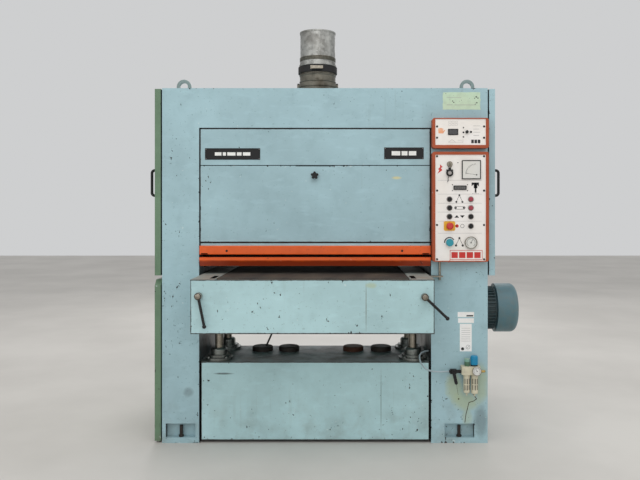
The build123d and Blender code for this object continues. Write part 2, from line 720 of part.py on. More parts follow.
x_cowl_end = x_cowl + cowl_length
motor_axis = (y_motor, motor_height)
with BuildPart() as fan_cowl:
    rod_x(cowl_radius, x_cowl, x_cowl_end, *motor_axis)
    fillet(fan_cowl.edges().filter_by(GeomType.CIRCLE).group_by(Axis.X)[-1], radius=cowl_round)
    rod_x(cowl_radius - skin, x_cowl + skin, x_cowl_end - cowl_round, *motor_axis, Mode.SUBTRACT)
    rod_x(cowl_radius - cowl_round - skin, x_cowl + skin, x_cowl_end - skin, *motor_axis, Mode.SUBTRACT)
    shaft_hole = motor_shaft_diameter / 2 + free_gap
    rod_x(shaft_hole, x_cowl - 1, x_cowl + 2 * skin, *motor_axis, Mode.SUBTRACT)
    with Locations(Location((x_cowl_end, *motor_axis), (0, 90, 0))):
        for ring, count in ((42.0, 12), (66.0, 20), (90.0, 28)):
            with PolarLocations(ring, count):
                Cylinder(5.5, 4 * skin, mode=Mode.SUBTRACT)
save(fan_cowl, "fan_cowl")

fan_radius = cowl_radius - 28.0
with BuildPart() as motor_rotor:
    rod_x(motor_shaft_diameter / 2, x_pulley_left - 6.0, x_cowl + 78.0, y_motor, motor_height)
    rod_x(motor_pulley_diameter / 2, x_pulley_left, x_pulley_right, y_motor, motor_height)
    rod_x(rotor_radius, x_motor_face + 22, x_cowl - 25, y_motor, motor_height)
    rod_x(32.0, x_cowl + 40.0, x_cowl + 75.0, y_motor, motor_height)
    rod_x(fan_radius, x_cowl + 40.0, x_cowl + 44.0, y_motor, motor_height)
    with Locations(Location((x_cowl + 58.0, y_motor, motor_height), (0, 90, 0))):
        with PolarLocations(fan_radius - 38.0, 8):
            Box(70.0, 3.0, 30.0)
save(motor_rotor, "motor_rotor")

with BuildPart() as vee_belts:
    belt_pitch = pulley_width / vee_belt_count
    for row in range(vee_belt_count):
        belt_loop(
            x_pulley_left + (row + 0.5) * belt_pitch - vee_belt_width / 2, vee_belt_width,
            (y_motor, motor_height), motor_pulley_diameter / 2,
            (y_drum, z_drum), drum_pulley_diameter / 2, vee_belt_thickness,
        )
save(vee_belts, "vee_belts")

# ---------------------------------------------------------------- table
lever_places = (  # x, z and angle from hanging straight down
    (x_table_left + 41.0, table_top - 76.0, 11.5), (x_table_right - 48.0, table_top - 80.0, 46.5),
)
lever_pin_radius = 8.0
with BuildPart() as table_bed:
    block(x_table_left, x_table_right, y_table_front, y_table_rear, table_bottom, table_top)
    for edge_group in (0, -1):
        corner = table_bed.edges().filter_by(Axis.Z).group_by(Axis.Y)[0].sort_by(Axis.X)[edge_group]
        fillet(corner, radius=4.0)
    block(
        x_table_left + table_sheet, x_table_right - table_sheet,
        y_table_front + table_sheet, y_table_rear - table_sheet,
        table_bottom + table_sheet, table_top + 1, Mode.SUBTRACT,
    )
    for x_wall, x_edge in ((x_belt_left, x_table_left), (x_belt_right, x_table_right)):
        inner = sorted((x_wall, x_wall - table_sheet if x_wall < x_bay else x_wall + table_sheet))
        block(*inner, y_table_front, y_table_rear, table_bottom, table_top)
        block(*sorted((x_wall, x_edge)), y_table_front, y_table_rear, table_top - table_sheet, table_top)
    slider_top = conveyor_top - conveyor_thickness - free_gap
    block(
        x_belt_left - 2, x_belt_right + 2, y_tail_roller + 55.0, y_drive_roller - 55.0,
        slider_top - plate, slider_top,
    )
    for y in (y_tail_roller, y_drive_roller):
        bore = feed_shaft_diameter / 2 + shaft_fit
        for x_wall in (x_belt_left, x_belt_right):
            rod_x(bore, x_wall - 2 * table_sheet, x_wall + 2 * table_sheet, y, z_feed_roller, Mode.SUBTRACT)
    for x, z, angle in lever_places:
        bore = lever_pin_radius + shaft_fit
        rod_y(bore, x, y_table_front - 1, y_table_front + table_sheet + 1, z, Mode.SUBTRACT)
save(table_bed, "table_bed")

belt_side_gap = 4.0
with BuildPart() as conveyor_belt:
    belt_loop(
        x_belt_left + belt_side_gap, conveyor_width - 2 * belt_side_gap,
        (y_tail_roller, z_feed_roller), feed_radius,
        (y_drive_roller, z_feed_roller), feed_radius, conveyor_thickness,
    )
save(conveyor_belt, "conveyor_belt")


def feed_roller(y):
    """A conveyor roller with its shaft through both side boxes of the table."""
    ends = (x_belt_left + belt_side_gap, x_belt_right - belt_side_gap)
    roller_tube(feed_radius, roller_wall, *ends, y, z_feed_roller)
    reach = table_sheet + 20.0
    rod_x(feed_shaft_diameter / 2, x_belt_left - reach, x_belt_right + reach, y, z_feed_roller)


with BuildPart() as tail_roller:
    feed_roller(y_tail_roller)
save(tail_roller, "tail_roller")

with BuildPart() as drive_roller:
    feed_roller(y_drive_roller)
save(drive_roller, "drive_roller")

with BuildPart() as feed_gearmotor:
    z_gear = table_bottom + 130.0
    gear_depth = (y_table_rear, y_table_rear + 110.0)
    block(x_belt_right - 20.0, x_belt_right + 90.0, *gear_depth, z_gear - 70.0, z_gear + 70.0)
    fillet(feed_gearmotor.edges().filter_by(Axis.X), radius=12.0)
    rod_x(52.0, x_belt_right - 240.0, x_belt_right - 20.0, y_table_rear + 56.0, z_gear)
    rod_x(58.0, x_belt_right - 280.0, x_belt_right - 225.0, y_table_rear + 60.0, z_gear)
save(feed_gearmotor, "feed_gearmotor")

with BuildPart() as lift_screws:
    for x, y in screw_places:
        rod_z(screw_diameter / 2, x, y, screw_tail, table_bottom)
save(lift_screws, "lift_screws")

x_pointer = x_bay_right + 40.0
y_pointer = y_front - box_proud / 2
pointer_radius = 6.0
with BuildPart() as height_pointer:
    block(x_table_right, x_pointer + 15.0, y_front - 45.0, y_front - 6.0, table_top - 13.0, table_top - 7.0)
    rod_z(pointer_radius, x_pointer, y_pointer, table_top - 30.0, table_top + 222.0)
save(height_pointer, "height_pointer")

lever_hub_radius = 16.5
lever_hub_length = 32.0
lever_length = 145.0
lever_bar_radius = 6.5
lever_ball_radius = 9.5


def clamp_lever(x, z, angle):
    """A clamp lever: hub and pin through the table front, and a bar with a ball end."""
    y_hub = y_table_front - lever_hub_length
    rod_y(lever_hub_radius, x, y_hub, y_table_front, z)
    fillet(edges().filter_by(GeomType.CIRCLE).group_by(Axis.Y)[0], radius=4.0)
    rod_y(lever_pin_radius, x, y_table_front - 1, y_table_front + table_sheet + 15.0, z)
    way = (sin(radians(angle)), -cos(radians(angle)))
    y_bar = y_table_front - lever_hub_length * 0.6
    middle = (x + way[0] * lever_length / 2, y_bar, z + way[1] * lever_length / 2)
    with Locations(Plane(origin=middle, z_dir=(way[0], 0, way[1]))):
        Cylinder(lever_bar_radius, lever_length)
    with Locations((x + way[0] * lever_length, y_bar, z + way[1] * lever_length)):
        Sphere(lever_ball_radius)


with BuildPart() as left_clamp_lever:
    clamp_lever(*lever_places[0])
save(left_clamp_lever, "left_clamp_lever")

with BuildPart() as right_clamp_lever:
    clamp_lever(*lever_places[1])
save(right_clamp_lever, "right_clamp_lever")

# ---------------------------------------------------------------- control boxes and plates
x_box_left = x_bay_right
x_box_right = x_right - panel_gap
box_lips = {upper_box: (16.0, 5.0), lower_box: (5.0, 15.0)}  # bottom lip, top lip


def rounded(x0, x1, z0, z1, radius, mode=Mode.ADD):
    """A rounded rectangle between two corners, in the current sketch."""
    with Locations(((x0 + x1) / 2, (z0 + z1) / 2)):
        RectangleRounded(x1 - x0, z1 - z0, radius, mode=mode)


with BuildPart() as control_boxes:
    for z0, z1 in (upper_box, lower_box):
        with BuildSketch(facing_front(y_front)):
            rounded(x_box_left, x_box_right, z0, z1, box_corner)
        extrude(amount=box_proud)
        with BuildSketch(facing_front(y_front)):
            inner = (x_box_left + box_sheet, x_box_right - box_sheet, z0 + box_sheet, z1 - box_sheet)
            rounded(*inner, box_corner - box_sheet)
        extrude(amount=box_proud - box_sheet, mode=Mode.SUBTRACT)
        low_lip, top_lip = box_lips[(z0, z1)]
        with BuildSketch(facing_front(y_plate)):
            rounded(x_box_left + box_side_lip, x_box_right - box_side_lip, z0 + low_lip, z1 - top_lip, 3.0)
        extrude(amount=2 * box_sheet, mode=Mode.SUBTRACT)
    z_slot = (lower_box[0] - 1, lower_box[0] + box_sheet + 1)
    rod_z(pointer_radius + 1, x_pointer, y_pointer, *z_slot, Mode.SUBTRACT)
save(control_boxes, "control_boxes")

button_rows = [lower_box[0] + height for height in button_heights]
buttons = {
    "sander_start_button": (x_control_left, button_rows[0]),
    "sander_stop_button": (x_control_right, button_rows[0]),
    "feed_start_button": (x_control_left, button_rows[1]),
    "feed_stop_button": (x_control_right, button_rows[1]),
    "table_up_button": (x_control_left, button_rows[2]),
    "table_down_button": (x_control_right, button_rows[2]),
    "reset_button": (x_control_right, button_rows[3]),
}
button_radius = button_diameter / 2
stop_place = (x_control_left, button_rows[3])
stop_stem_radius = 9.0
key_place = (x_control_left + 1, lower_box[0] + 494.0)
key_radius = 9.0
tension_knob_place = (x_control_left, lower_box[0] + knob_height)
small_knob_place = (x_control_right - 20, upper_box[0] + 82.0)
spindle_radius = 4.0
plate_sheet = 3.0
plate_gap = 0.5
plate_back = y_plate + plate_sheet
plate_holes = [(place, button_radius) for place in buttons.values()]
plate_holes += [(stop_place, stop_stem_radius), (key_place, key_radius)]
plate_holes += [(tension_knob_place, spindle_radius), (small_knob_place, spindle_radius)]

with BuildPart() as control_plates:
    for z0, z1 in (upper_box, lower_box):
        inset = box_sheet + plate_gap
        with BuildSketch(facing_front(plate_back)):
            inner = (x_box_left + inset, x_box_right - inset, z0 + inset, z1 - inset)
            rounded(*inner, box_corner - inset)
        extrude(amount=plate_sheet)
    for (x, z), radius in plate_holes:
        rod_y(radius + shaft_fit, x, y_plate - 1, plate_back + 1, z, Mode.SUBTRACT)
save(control_plates, "control_plates")

for button_name, (x, z) in buttons.items():
    with BuildPart() as push_button:
        rod_y(button_radius, x, y_plate - button_proud, plate_back + 12.0, z)
        fillet(push_button.edges().filter_by(GeomType.CIRCLE).group_by(Axis.Y)[0], radius=1.5)
    save(push_button, button_name)

with BuildPart() as emergency_stop:
    x, z = stop_place
    rod_y(18.0, x, y_plate - 26.0, y_plate - 13.0, z)
    fillet(emergency_stop.edges().filter_by(GeomType.CIRCLE).group_by(Axis.Y)[0], radius=7.0)
    rod_y(stop_stem_radius, x, y_plate - 14.0, plate_back + 12.0, z)
save(emergency_stop, "emergency_stop")

with BuildPart() as key_switch:
    x, z = key_place
    rod_y(key_radius, x, y_plate - 5.0, plate_back + 12.0, z)
    block(x - 1.2, x + 1.2, y_plate - 14.0, y_plate - 4.0, z - 4.5, z + 4.5)
    rod_x(11.0, x - 1.2, x + 1.2, y_plate - 22.0, z)
    rod_x(6.0, x - 2, x + 2, y_plate - 22.0, z, Mode.SUBTRACT)
save(key_switch, "key_switch")

with BuildPart() as tension_knob:
    x, z = tension_knob_place
    rod_y(19.0, x, y_plate - 18.0, y_plate - 1.0, z)
    fillet(tension_knob.edges().filter_by(GeomType.CIRCLE).group_by(Axis.Y)[0], radius=3.0)
    with Locations(Location((x, y_plate - 8.0, z), (90, 0, 0))):
        with PolarLocations(20.0, 12):
            Cylinder(2.2, 14.0, mode=Mode.SUBTRACT)
    rod_y(spindle_radius, x, y_plate - 2.0, plate_back + 10.0, z)
save(tension_knob, "tension_knob")

with BuildPart() as thickness_knob:
    x, z = small_knob_place
    rod_y(8.0, x, y_plate - 12.0, y_plate - 1.0, z)
    fillet(thickness_knob.edges().filter_by(GeomType.CIRCLE).group_by(Axis.Y)[0], radius=1.5)
    rod_y(spindle_radius, x, y_plate - 2.0, plate_back + 10.0, z)
save(thickness_knob, "thickness_knob")

ammeter_size = 96.0
ammeter_place = (x_control_right + 2, lower_box[0] + meter_height)
gauge_place = (x_control_right, lower_box[0] + knob_height - 1)
gauge_radius = 31.0
readout_place = (x_control_right - 55, lower_box[0] + 375.0)
display_place = (x_control_left + 18, upper_box[0] + 82.0)
with BuildPart() as panel_meters:
    for (x, z), width, height, proud in (
        (ammeter_place, ammeter_size, ammeter_size, 7.0),
        (readout_place, 66.0, 22.0, 5.0),
        (display_place, 52.0, 31.0, 2.5),
    ):
        with BuildSketch(facing_front(y_plate)):
            rounded(x - width / 2, x + width / 2, z - height / 2, z + height / 2, 3.0)
        extrude(amount=proud)
        with BuildSketch(facing_front(y_plate - proud)):
            rounded(x - width / 2 + 4, x + width / 2 - 4, z - height / 2 + 4, z + height / 2 - 4, 1.0)
        extrude(amount=-1.5, mode=Mode.SUBTRACT)
    x, z = gauge_place
    rod_y(gauge_radius, x, y_plate - 8.0, y_plate, z)
    rod_y(gauge_radius - 3.5, x, y_plate - 9.0, y_plate - 6.0, z, Mode.SUBTRACT)
save(panel_meters, "panel_meters")

# ---------------------------------------------------------------- air service unit
x_air_left = x_bay_right + 147.0
x_air_right = x_air_left + 95.0
filter_x = x_air_left + 31.0
regulator_x = x_air_left + 66.5
bowl_x = (x_air_left + 28.5, x_air_left + 68.5)
air_body = (air_z - 12.0, air_z + 28.0)
gauge_x, gauge_z = regulator_x + 6.5, air_z + 10.0
with BuildPart() as filter_regulator:
    block(x_air_left, x_air_right, y_air - 25.0, y_air + 25.0, *air_body)
    fillet(filter_regulator.edges().filter_by(Axis.Z), radius=6.0)
    block(x_air_left + 14, x_air_right - 14, y_air + 24.0, y_front, air_body[0] + 6, air_body[1] - 6)
    for x, radius, low in ((bowl_x[0], 16.5, air_z - 110.0), (bowl_x[1], 17.5, air_z - 114.0)):
        rod_z(radius, x, y_air, low, air_body[0])
        fillet(filter_regulator.edges().filter_by(GeomType.CIRCLE).group_by(Axis.Z)[0], radius=9.0)
    for x, low in ((bowl_x[0], air_z - 121.0), (bowl_x[1], air_z - 125.0)):
        rod_z(4.0, x, y_air, low, low + 14)
    rod_z(13.0, filter_x, y_air, air_body[1] - 1, air_body[1] + 38)
    rod_z(spindle_radius + 8, regulator_x, y_air, air_body[1] - 1, air_body[1] + 6)
    rod_y(22.5, gauge_x, y_air - 44.0, y_air - 30.0, gauge_z)
    rod_y(8.0, gauge_x, y_air - 31.0, y_air - 24.0, gauge_z)
    rod_z(
        spindle_radius + shaft_fit, regulator_x, y_air, air_body[1] - 10, air_body[1] + 7, Mode.SUBTRACT,
    )
save(filter_regulator, "filter_regulator")

with BuildPart() as regulator_knob:
    rod_z(17.5, regulator_x, y_air, air_body[1] + 7, air_body[1] + 52)
    fillet(regulator_knob.edges().filter_by(GeomType.CIRCLE).group_by(Axis.Z)[-1], radius=5.0)
    rod_z(spindle_radius, regulator_x, y_air, air_body[1] - 8, air_body[1] + 8)
save(regulator_knob, "regulator_knob")

x_hose_start = x_air_left - 61.0
valve_x = x_air_left - 40.0
nipple_radius = 5.4
with BuildPart() as air_fittings:
    block(x_hose_start + 5, valve_x + 16, y_air - 12, y_air + 12, air_z - 12, air_z + 12)
    fillet(air_fittings.edges().filter_by(Axis.X), radius=4.0)
    rod_x(6.5, x_hose_start, x_hose_start + 6, y_air, air_z)
    rod_x(9.0, valve_x + 15, x_air_left, y_air, air_z)
    rod_y(spindle_radius + shaft_fit, valve_x, y_air - 13, y_air - 5, air_z, Mode.SUBTRACT)
    rod_x(9.0, x_air_right, x_air_right + 6, y_air, air_z)
    rod_x(nipple_radius, x_air_right, x_air_right + 28, y_air, air_z)
    rod_x(10.0, x_bay_right - 6, x_bay_right, *gland_place)
    rod_x(gland_radius - free_gap, x_bay_right - 6, x_bay_right + 20, *gland_place)
save(air_fittings, "air_fittings")

with BuildPart() as valve_lever:
    rod_y(spindle_radius, valve_x, y_air - 22, y_air - 6, air_z)
    rod_y(9.0, valve_x, y_air - 21, y_air - 13, air_z)
    with BuildSketch(facing_front(y_air - 16)):
        with Locations(Location((valve_x, air_z), 13.0)):
            with Locations((0, -30)):
                SlotOverall(68.0, 16.0, rotation=90)
    extrude(amount=5.0)
save(valve_lever, "valve_lever")

hose_offsets = [  # from the valve's outlet, round the column's corner and into the gland
    (0, 0, 0), (-35, -1, -2), (-70, -2, -1), (-101, -2, 4), (-127, 10, 18),
    (-143, 32, 42), (-145, 58, 65), (-133, 82, 77), (-114, 98, 82), (-92, 104, 84),
]
hose_route = [(x_hose_start + dx, y_air + dy, air_z + dz) for dx, dy, dz in hose_offsets]


def bend_radii(points, share=0.45):
    """The largest arc at each inner point that its two runs leave room for."""
    radii = []
    for before, here, after in zip(points, points[1:], points[2:]):
        into, out = Vector(*here) - Vector(*before), Vector(*after) - Vector(*here)
        half_turn = radians(into.get_angle(out)) / 2
        radii.append(share * min(into.length, out.length) / tan(half_turn))
    return radii


hose_radii = bend_radii(hose_route)
print("hose bend radii", [round(radius, 1) for radius in hose_radii])
with BuildPart() as air_hose:
    with BuildLine() as hose_line:
        FilletPolyline(*hose_route, radius=hose_radii)
    hose_path = hose_line.wires()[0]
    with BuildSketch(Plane(origin=hose_path @ 0, z_dir=hose_path % 0)):
        Circle(hose_diameter / 2)
    sweep(path=hose_path)
save(air_hose, "air_hose")
hose_length = hose_path.length
hose_section = pi * hose_diameter**2 / 4
hose_ratio = air_hose.part.volume / hose_length / hose_section
print("hose length", round(hose_length, 1), "volume ratio", round(hose_ratio, 4))
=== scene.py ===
# %% [markdown]
# # A wide-belt sander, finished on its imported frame
# The machine is a welded steel box on two columns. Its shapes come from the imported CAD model, which
# stays fixed. This lesson gives every part its finish and adds the small trim that a shop floor
# machine carries: bezels, printed panels, screws, name plates, labels, louvres and bolts.
# The frame is loaded first, because every place below is read from it.

# %% Load the frame
import math
import bmesh
import bpy
from mathutils import Matrix, Vector


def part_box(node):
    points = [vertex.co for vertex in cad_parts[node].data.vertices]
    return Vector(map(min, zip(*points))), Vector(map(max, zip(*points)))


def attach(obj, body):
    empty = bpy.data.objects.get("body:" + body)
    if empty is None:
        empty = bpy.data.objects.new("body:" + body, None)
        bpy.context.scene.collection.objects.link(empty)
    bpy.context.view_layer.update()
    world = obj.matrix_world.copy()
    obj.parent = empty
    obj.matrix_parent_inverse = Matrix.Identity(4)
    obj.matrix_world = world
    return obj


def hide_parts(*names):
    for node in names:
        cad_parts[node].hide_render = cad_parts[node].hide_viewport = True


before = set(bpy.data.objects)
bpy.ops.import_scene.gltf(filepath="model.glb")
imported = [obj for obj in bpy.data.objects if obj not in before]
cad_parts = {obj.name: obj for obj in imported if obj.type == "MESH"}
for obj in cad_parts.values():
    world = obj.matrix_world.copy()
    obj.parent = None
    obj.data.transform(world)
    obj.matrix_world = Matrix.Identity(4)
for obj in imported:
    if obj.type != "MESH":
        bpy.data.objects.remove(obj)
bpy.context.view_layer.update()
MM = 0.001


def centre(node):
    """The middle of a CAD node's box."""
    low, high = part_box(node)
    return (low + high) / 2


def in_mm(points):
    """Points written in millimetres, as metres."""
    return [tuple(value * MM for value in point) for point in points]


# %% [markdown]
# ## Camera
# A machine is pictured from the operator's side, standing a few paces off with a level camera, so
# that its uprights stay upright. The lens is shifted a little, down and to the left, to centre the
# machine, because turning or tilting the camera would make the uprights lean.

# %% Camera
FOCAL_LENGTH, SENSOR = 39.375, 36.0
frame_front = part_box("head_hood")[0].y
camera_data = bpy.data.cameras.new("operator_view")
camera_data.lens, camera_data.sensor_width = FOCAL_LENGTH, SENSOR
camera_data.shift_x, camera_data.shift_y = -0.0381, -0.0484
camera = bpy.data.objects.new("operator_view", camera_data)
camera.location = (0.1, frame_front - 3.59, 1.2)
camera.rotation_euler = (math.radians(90), 0, 0)
bpy.context.scene.collection.objects.link(camera)
bpy.context.scene.camera = camera
print("camera stands", round(frame_front - camera.location.y, 2), "m in front")

# %% [markdown]
# ## The air hose
# A soft plastic hose runs from the elbow of the air unit, round the column's corner and into a gland
# in the bay wall. It could be a swept mesh, but a NURBS curve through a few control points bends the
# way a real hose does, and stays smooth at any distance. Blender counts each point's own radius in
# the curve's box, so the points carry the hose's radius and the bevel is left at one.

# %% Air hose
HOSE_DIAMETER = 0.008
HOSE_ROUTE = [
    (0.631, -0.487, 0.376), (0.596, -0.488, 0.374), (0.561, -0.489, 0.375), (0.530, -0.489, 0.380),
    (0.504, -0.477, 0.394), (0.488, -0.455, 0.418), (0.486, -0.429, 0.441), (0.498, -0.405, 0.453),
    (0.517, -0.389, 0.458), (0.539, -0.383, 0.460),
]
hose_data = bpy.data.curves.new("air_hose_line", "CURVE")
hose_data.dimensions = "3D"
hose_data.bevel_depth = 1.0
hose_data.bevel_resolution = 5
hose_data.resolution_u = 12
hose_data.use_fill_caps = True
hose_spline = hose_data.splines.new("NURBS")
hose_spline.points.add(len(HOSE_ROUTE) - 1)
for spline_point, place in zip(hose_spline.points, HOSE_ROUTE):
    spline_point.co = (*place, 1.0)
    spline_point.radius = HOSE_DIAMETER / 2
hose_spline.order_u = 3
hose_spline.use_endpoint_u = True
air_hose = bpy.data.objects.new("air_hose_line", hose_data)
bpy.context.scene.collection.objects.link(air_hose)
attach(air_hose, "root")
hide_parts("air_hose")
print("hose control points", len(HOSE_ROUTE))

# %% [markdown]
# ## Short words for shader nodes
# A finish is a small network of nodes. Writing each link by hand hides the idea under wiring, so
# four short words do it: make a node, do a sum, stretch a value to 0..1, and mix two colours.
# Colours are given as a painter would read them off a screen, and turned into linear light once.

# %% Node words
def light(red, green, blue):
    """A colour read as 0..255 screen values, as linear light with alpha."""
    def one(value):
        value /= 255
        return value / 12.92 if value <= 0.04045 else ((value + 0.055) / 1.055) ** 2.4
    return (one(red), one(green), one(blue), 1.0)


def shade(colour, factor):
    """The same colour, lighter or darker."""
    return (*(min(1.0, c * factor) for c in colour[:3]), 1.0)


def add_node(tree, kind, inputs=None, **settings):
    """A new shader node with its settings, its inputs linked or set."""
    made = tree.nodes.new("ShaderNode" + kind)
    for key, value in settings.items():
        setattr(made, key, value)
    for key, value in (inputs or {}).items():
        if isinstance(value, bpy.types.NodeSocket):
            tree.links.new(value, made.inputs[key])
        else:
            made.inputs[key].default_value = value
    return made


def calc(tree, operation, a, b=0.0):
    """One sum on two numbers."""
    return add_node(tree, "Math", {0: a, 1: b}, operation=operation).outputs[0]


def span(tree, value, low, high):
    """Stretches low..high to 0..1, clamped."""
    inputs = {"Value": value, "From Min": low, "From Max": high}
    return add_node(tree, "MapRange", inputs).outputs[0]


def mixed(tree, factor, a, b):
    """A mix of two colours."""
    return add_node(tree, "Mix", {0: factor, 6: a, 7: b}, data_type="RGBA").outputs[2]


def noise(tree, where, scale, detail=3.0, stretch=(1, 1, 1), seed=0.0):
    """Noise of a given scale, stretched along an axis and moved by a seed."""
    moved = add_node(tree, "Mapping", {"Vector": where, "Scale": stretch, "Location": (seed, seed * 0.7, 0)})
    inputs = {"Vector": moved.outputs[0], "Scale": scale, "Detail": detail, "Roughness": 0.55}
    return add_node(tree, "TexNoise", inputs).outputs[0]


def new_finish(name):
    """An empty finish: its material, tree, shader and the place on the object."""
    material = bpy.data.materials.new(name)
    material.use_nodes = True
    tree = material.node_tree
    where = add_node(tree, "TexCoord").outputs["Object"]
    return material, tree, tree.nodes["Principled BSDF"], where


def set_bump(tree, shader, height, strength, distance):
    """Gives the shader a bumped normal."""
    inputs = {"Height": height, "Strength": strength, "Distance": distance}
    bumped = add_node(tree, "Bump", inputs)
    tree.links.new(bumped.outputs[0], shader.inputs["Normal"])


print("node words ready")

# %% [markdown]
# ## Worn enamel
# The big panels are brushed and sprayed enamel, decades old. It clouds unevenly, dirt gathers near
# the floor, fine chips show dark primer, and they crowd along the edges. Edges could be found from
# the mesh, but CAD faces are large and flat, so the distance to the edges of the part's own box is
# worked out instead: on a box face it is the middle one of three distances.

# %% Enamel
PRIMER = light(40, 38, 36)
RUN_COLOUR = light(92, 78, 52)
DARK_GRIME = light(52, 48, 44)


def edge_distance(tree, axes, low, high):
    """How far a point on a box face is from the nearest edge of that box."""
    gaps = []
    for axis in range(3):
        near = calc(tree, "SUBTRACT", axes[axis], low[axis])
        far = calc(tree, "SUBTRACT", high[axis], axes[axis])
        gaps.append(calc(tree, "MINIMUM", near, far))
    smaller = calc(tree, "MINIMUM", gaps[0], gaps[1])
    larger = calc(tree, "MAXIMUM", gaps[0], gaps[1])
    return calc(tree, "MAXIMUM", smaller, calc(tree, "MINIMUM", larger, gaps[2]))


def ragged_patch_mask(tree, where, axes, x, z, half_width, half_height):
    """A soft ragged patch round (x, z), from 0 outside to 1 at its middle."""
    across = calc(tree, "DIVIDE", calc(tree, "SUBTRACT", axes[0], x), half_width)
    up = calc(tree, "DIVIDE", calc(tree, "SUBTRACT", axes[2], z), half_height)
    squares = calc(tree, "ADD", calc(tree, "MULTIPLY", across, across), calc(tree, "MULTIPLY", up, up))
    ragged = calc(tree, "ADD", squares, noise(tree, where, 22.0, 5.0, seed=x * 9))
    return calc(tree, "SUBTRACT", 1.0, span(tree, ragged, 0.7, 1.5))


def facing_mask(tree, axis, sign):
    """1 on faces that look along one axis, 0 elsewhere."""
    normals = add_node(tree, "SeparateXYZ", {0: add_node(tree, "TexCoord").outputs["Normal"]}).outputs
    return span(tree, calc(tree, "MULTIPLY", normals[axis], sign), 0.6, 0.8)


def rim_wear_and_shade_mask(tree, where, axes, rim):
    """A dark rim round a front face, given as (x0, x1, z0, z1, width): worn paint in the primer colour, and
    painted shade along the edges and seams.
    """
    x0, x1, z0, z1, width = rim
    across = calc(tree, "MINIMUM", calc(tree, "SUBTRACT", axes[0], x0), calc(tree, "SUBTRACT", x1, axes[0]))
    up = calc(tree, "MINIMUM", calc(tree, "SUBTRACT", axes[2], z0), calc(tree, "SUBTRACT", z1, axes[2]))
    uneven = calc(tree, "MULTIPLY", noise(tree, where, 30.0, 4.0), width * 0.8)
    inward = calc(tree, "ADD", calc(tree, "MINIMUM", across, up), uneven)
    near = calc(tree, "SUBTRACT", 1.0, span(tree, inward, width, width * 1.4))
    return calc(tree, "MULTIPLY", near, facing_mask(tree, 1, -1))


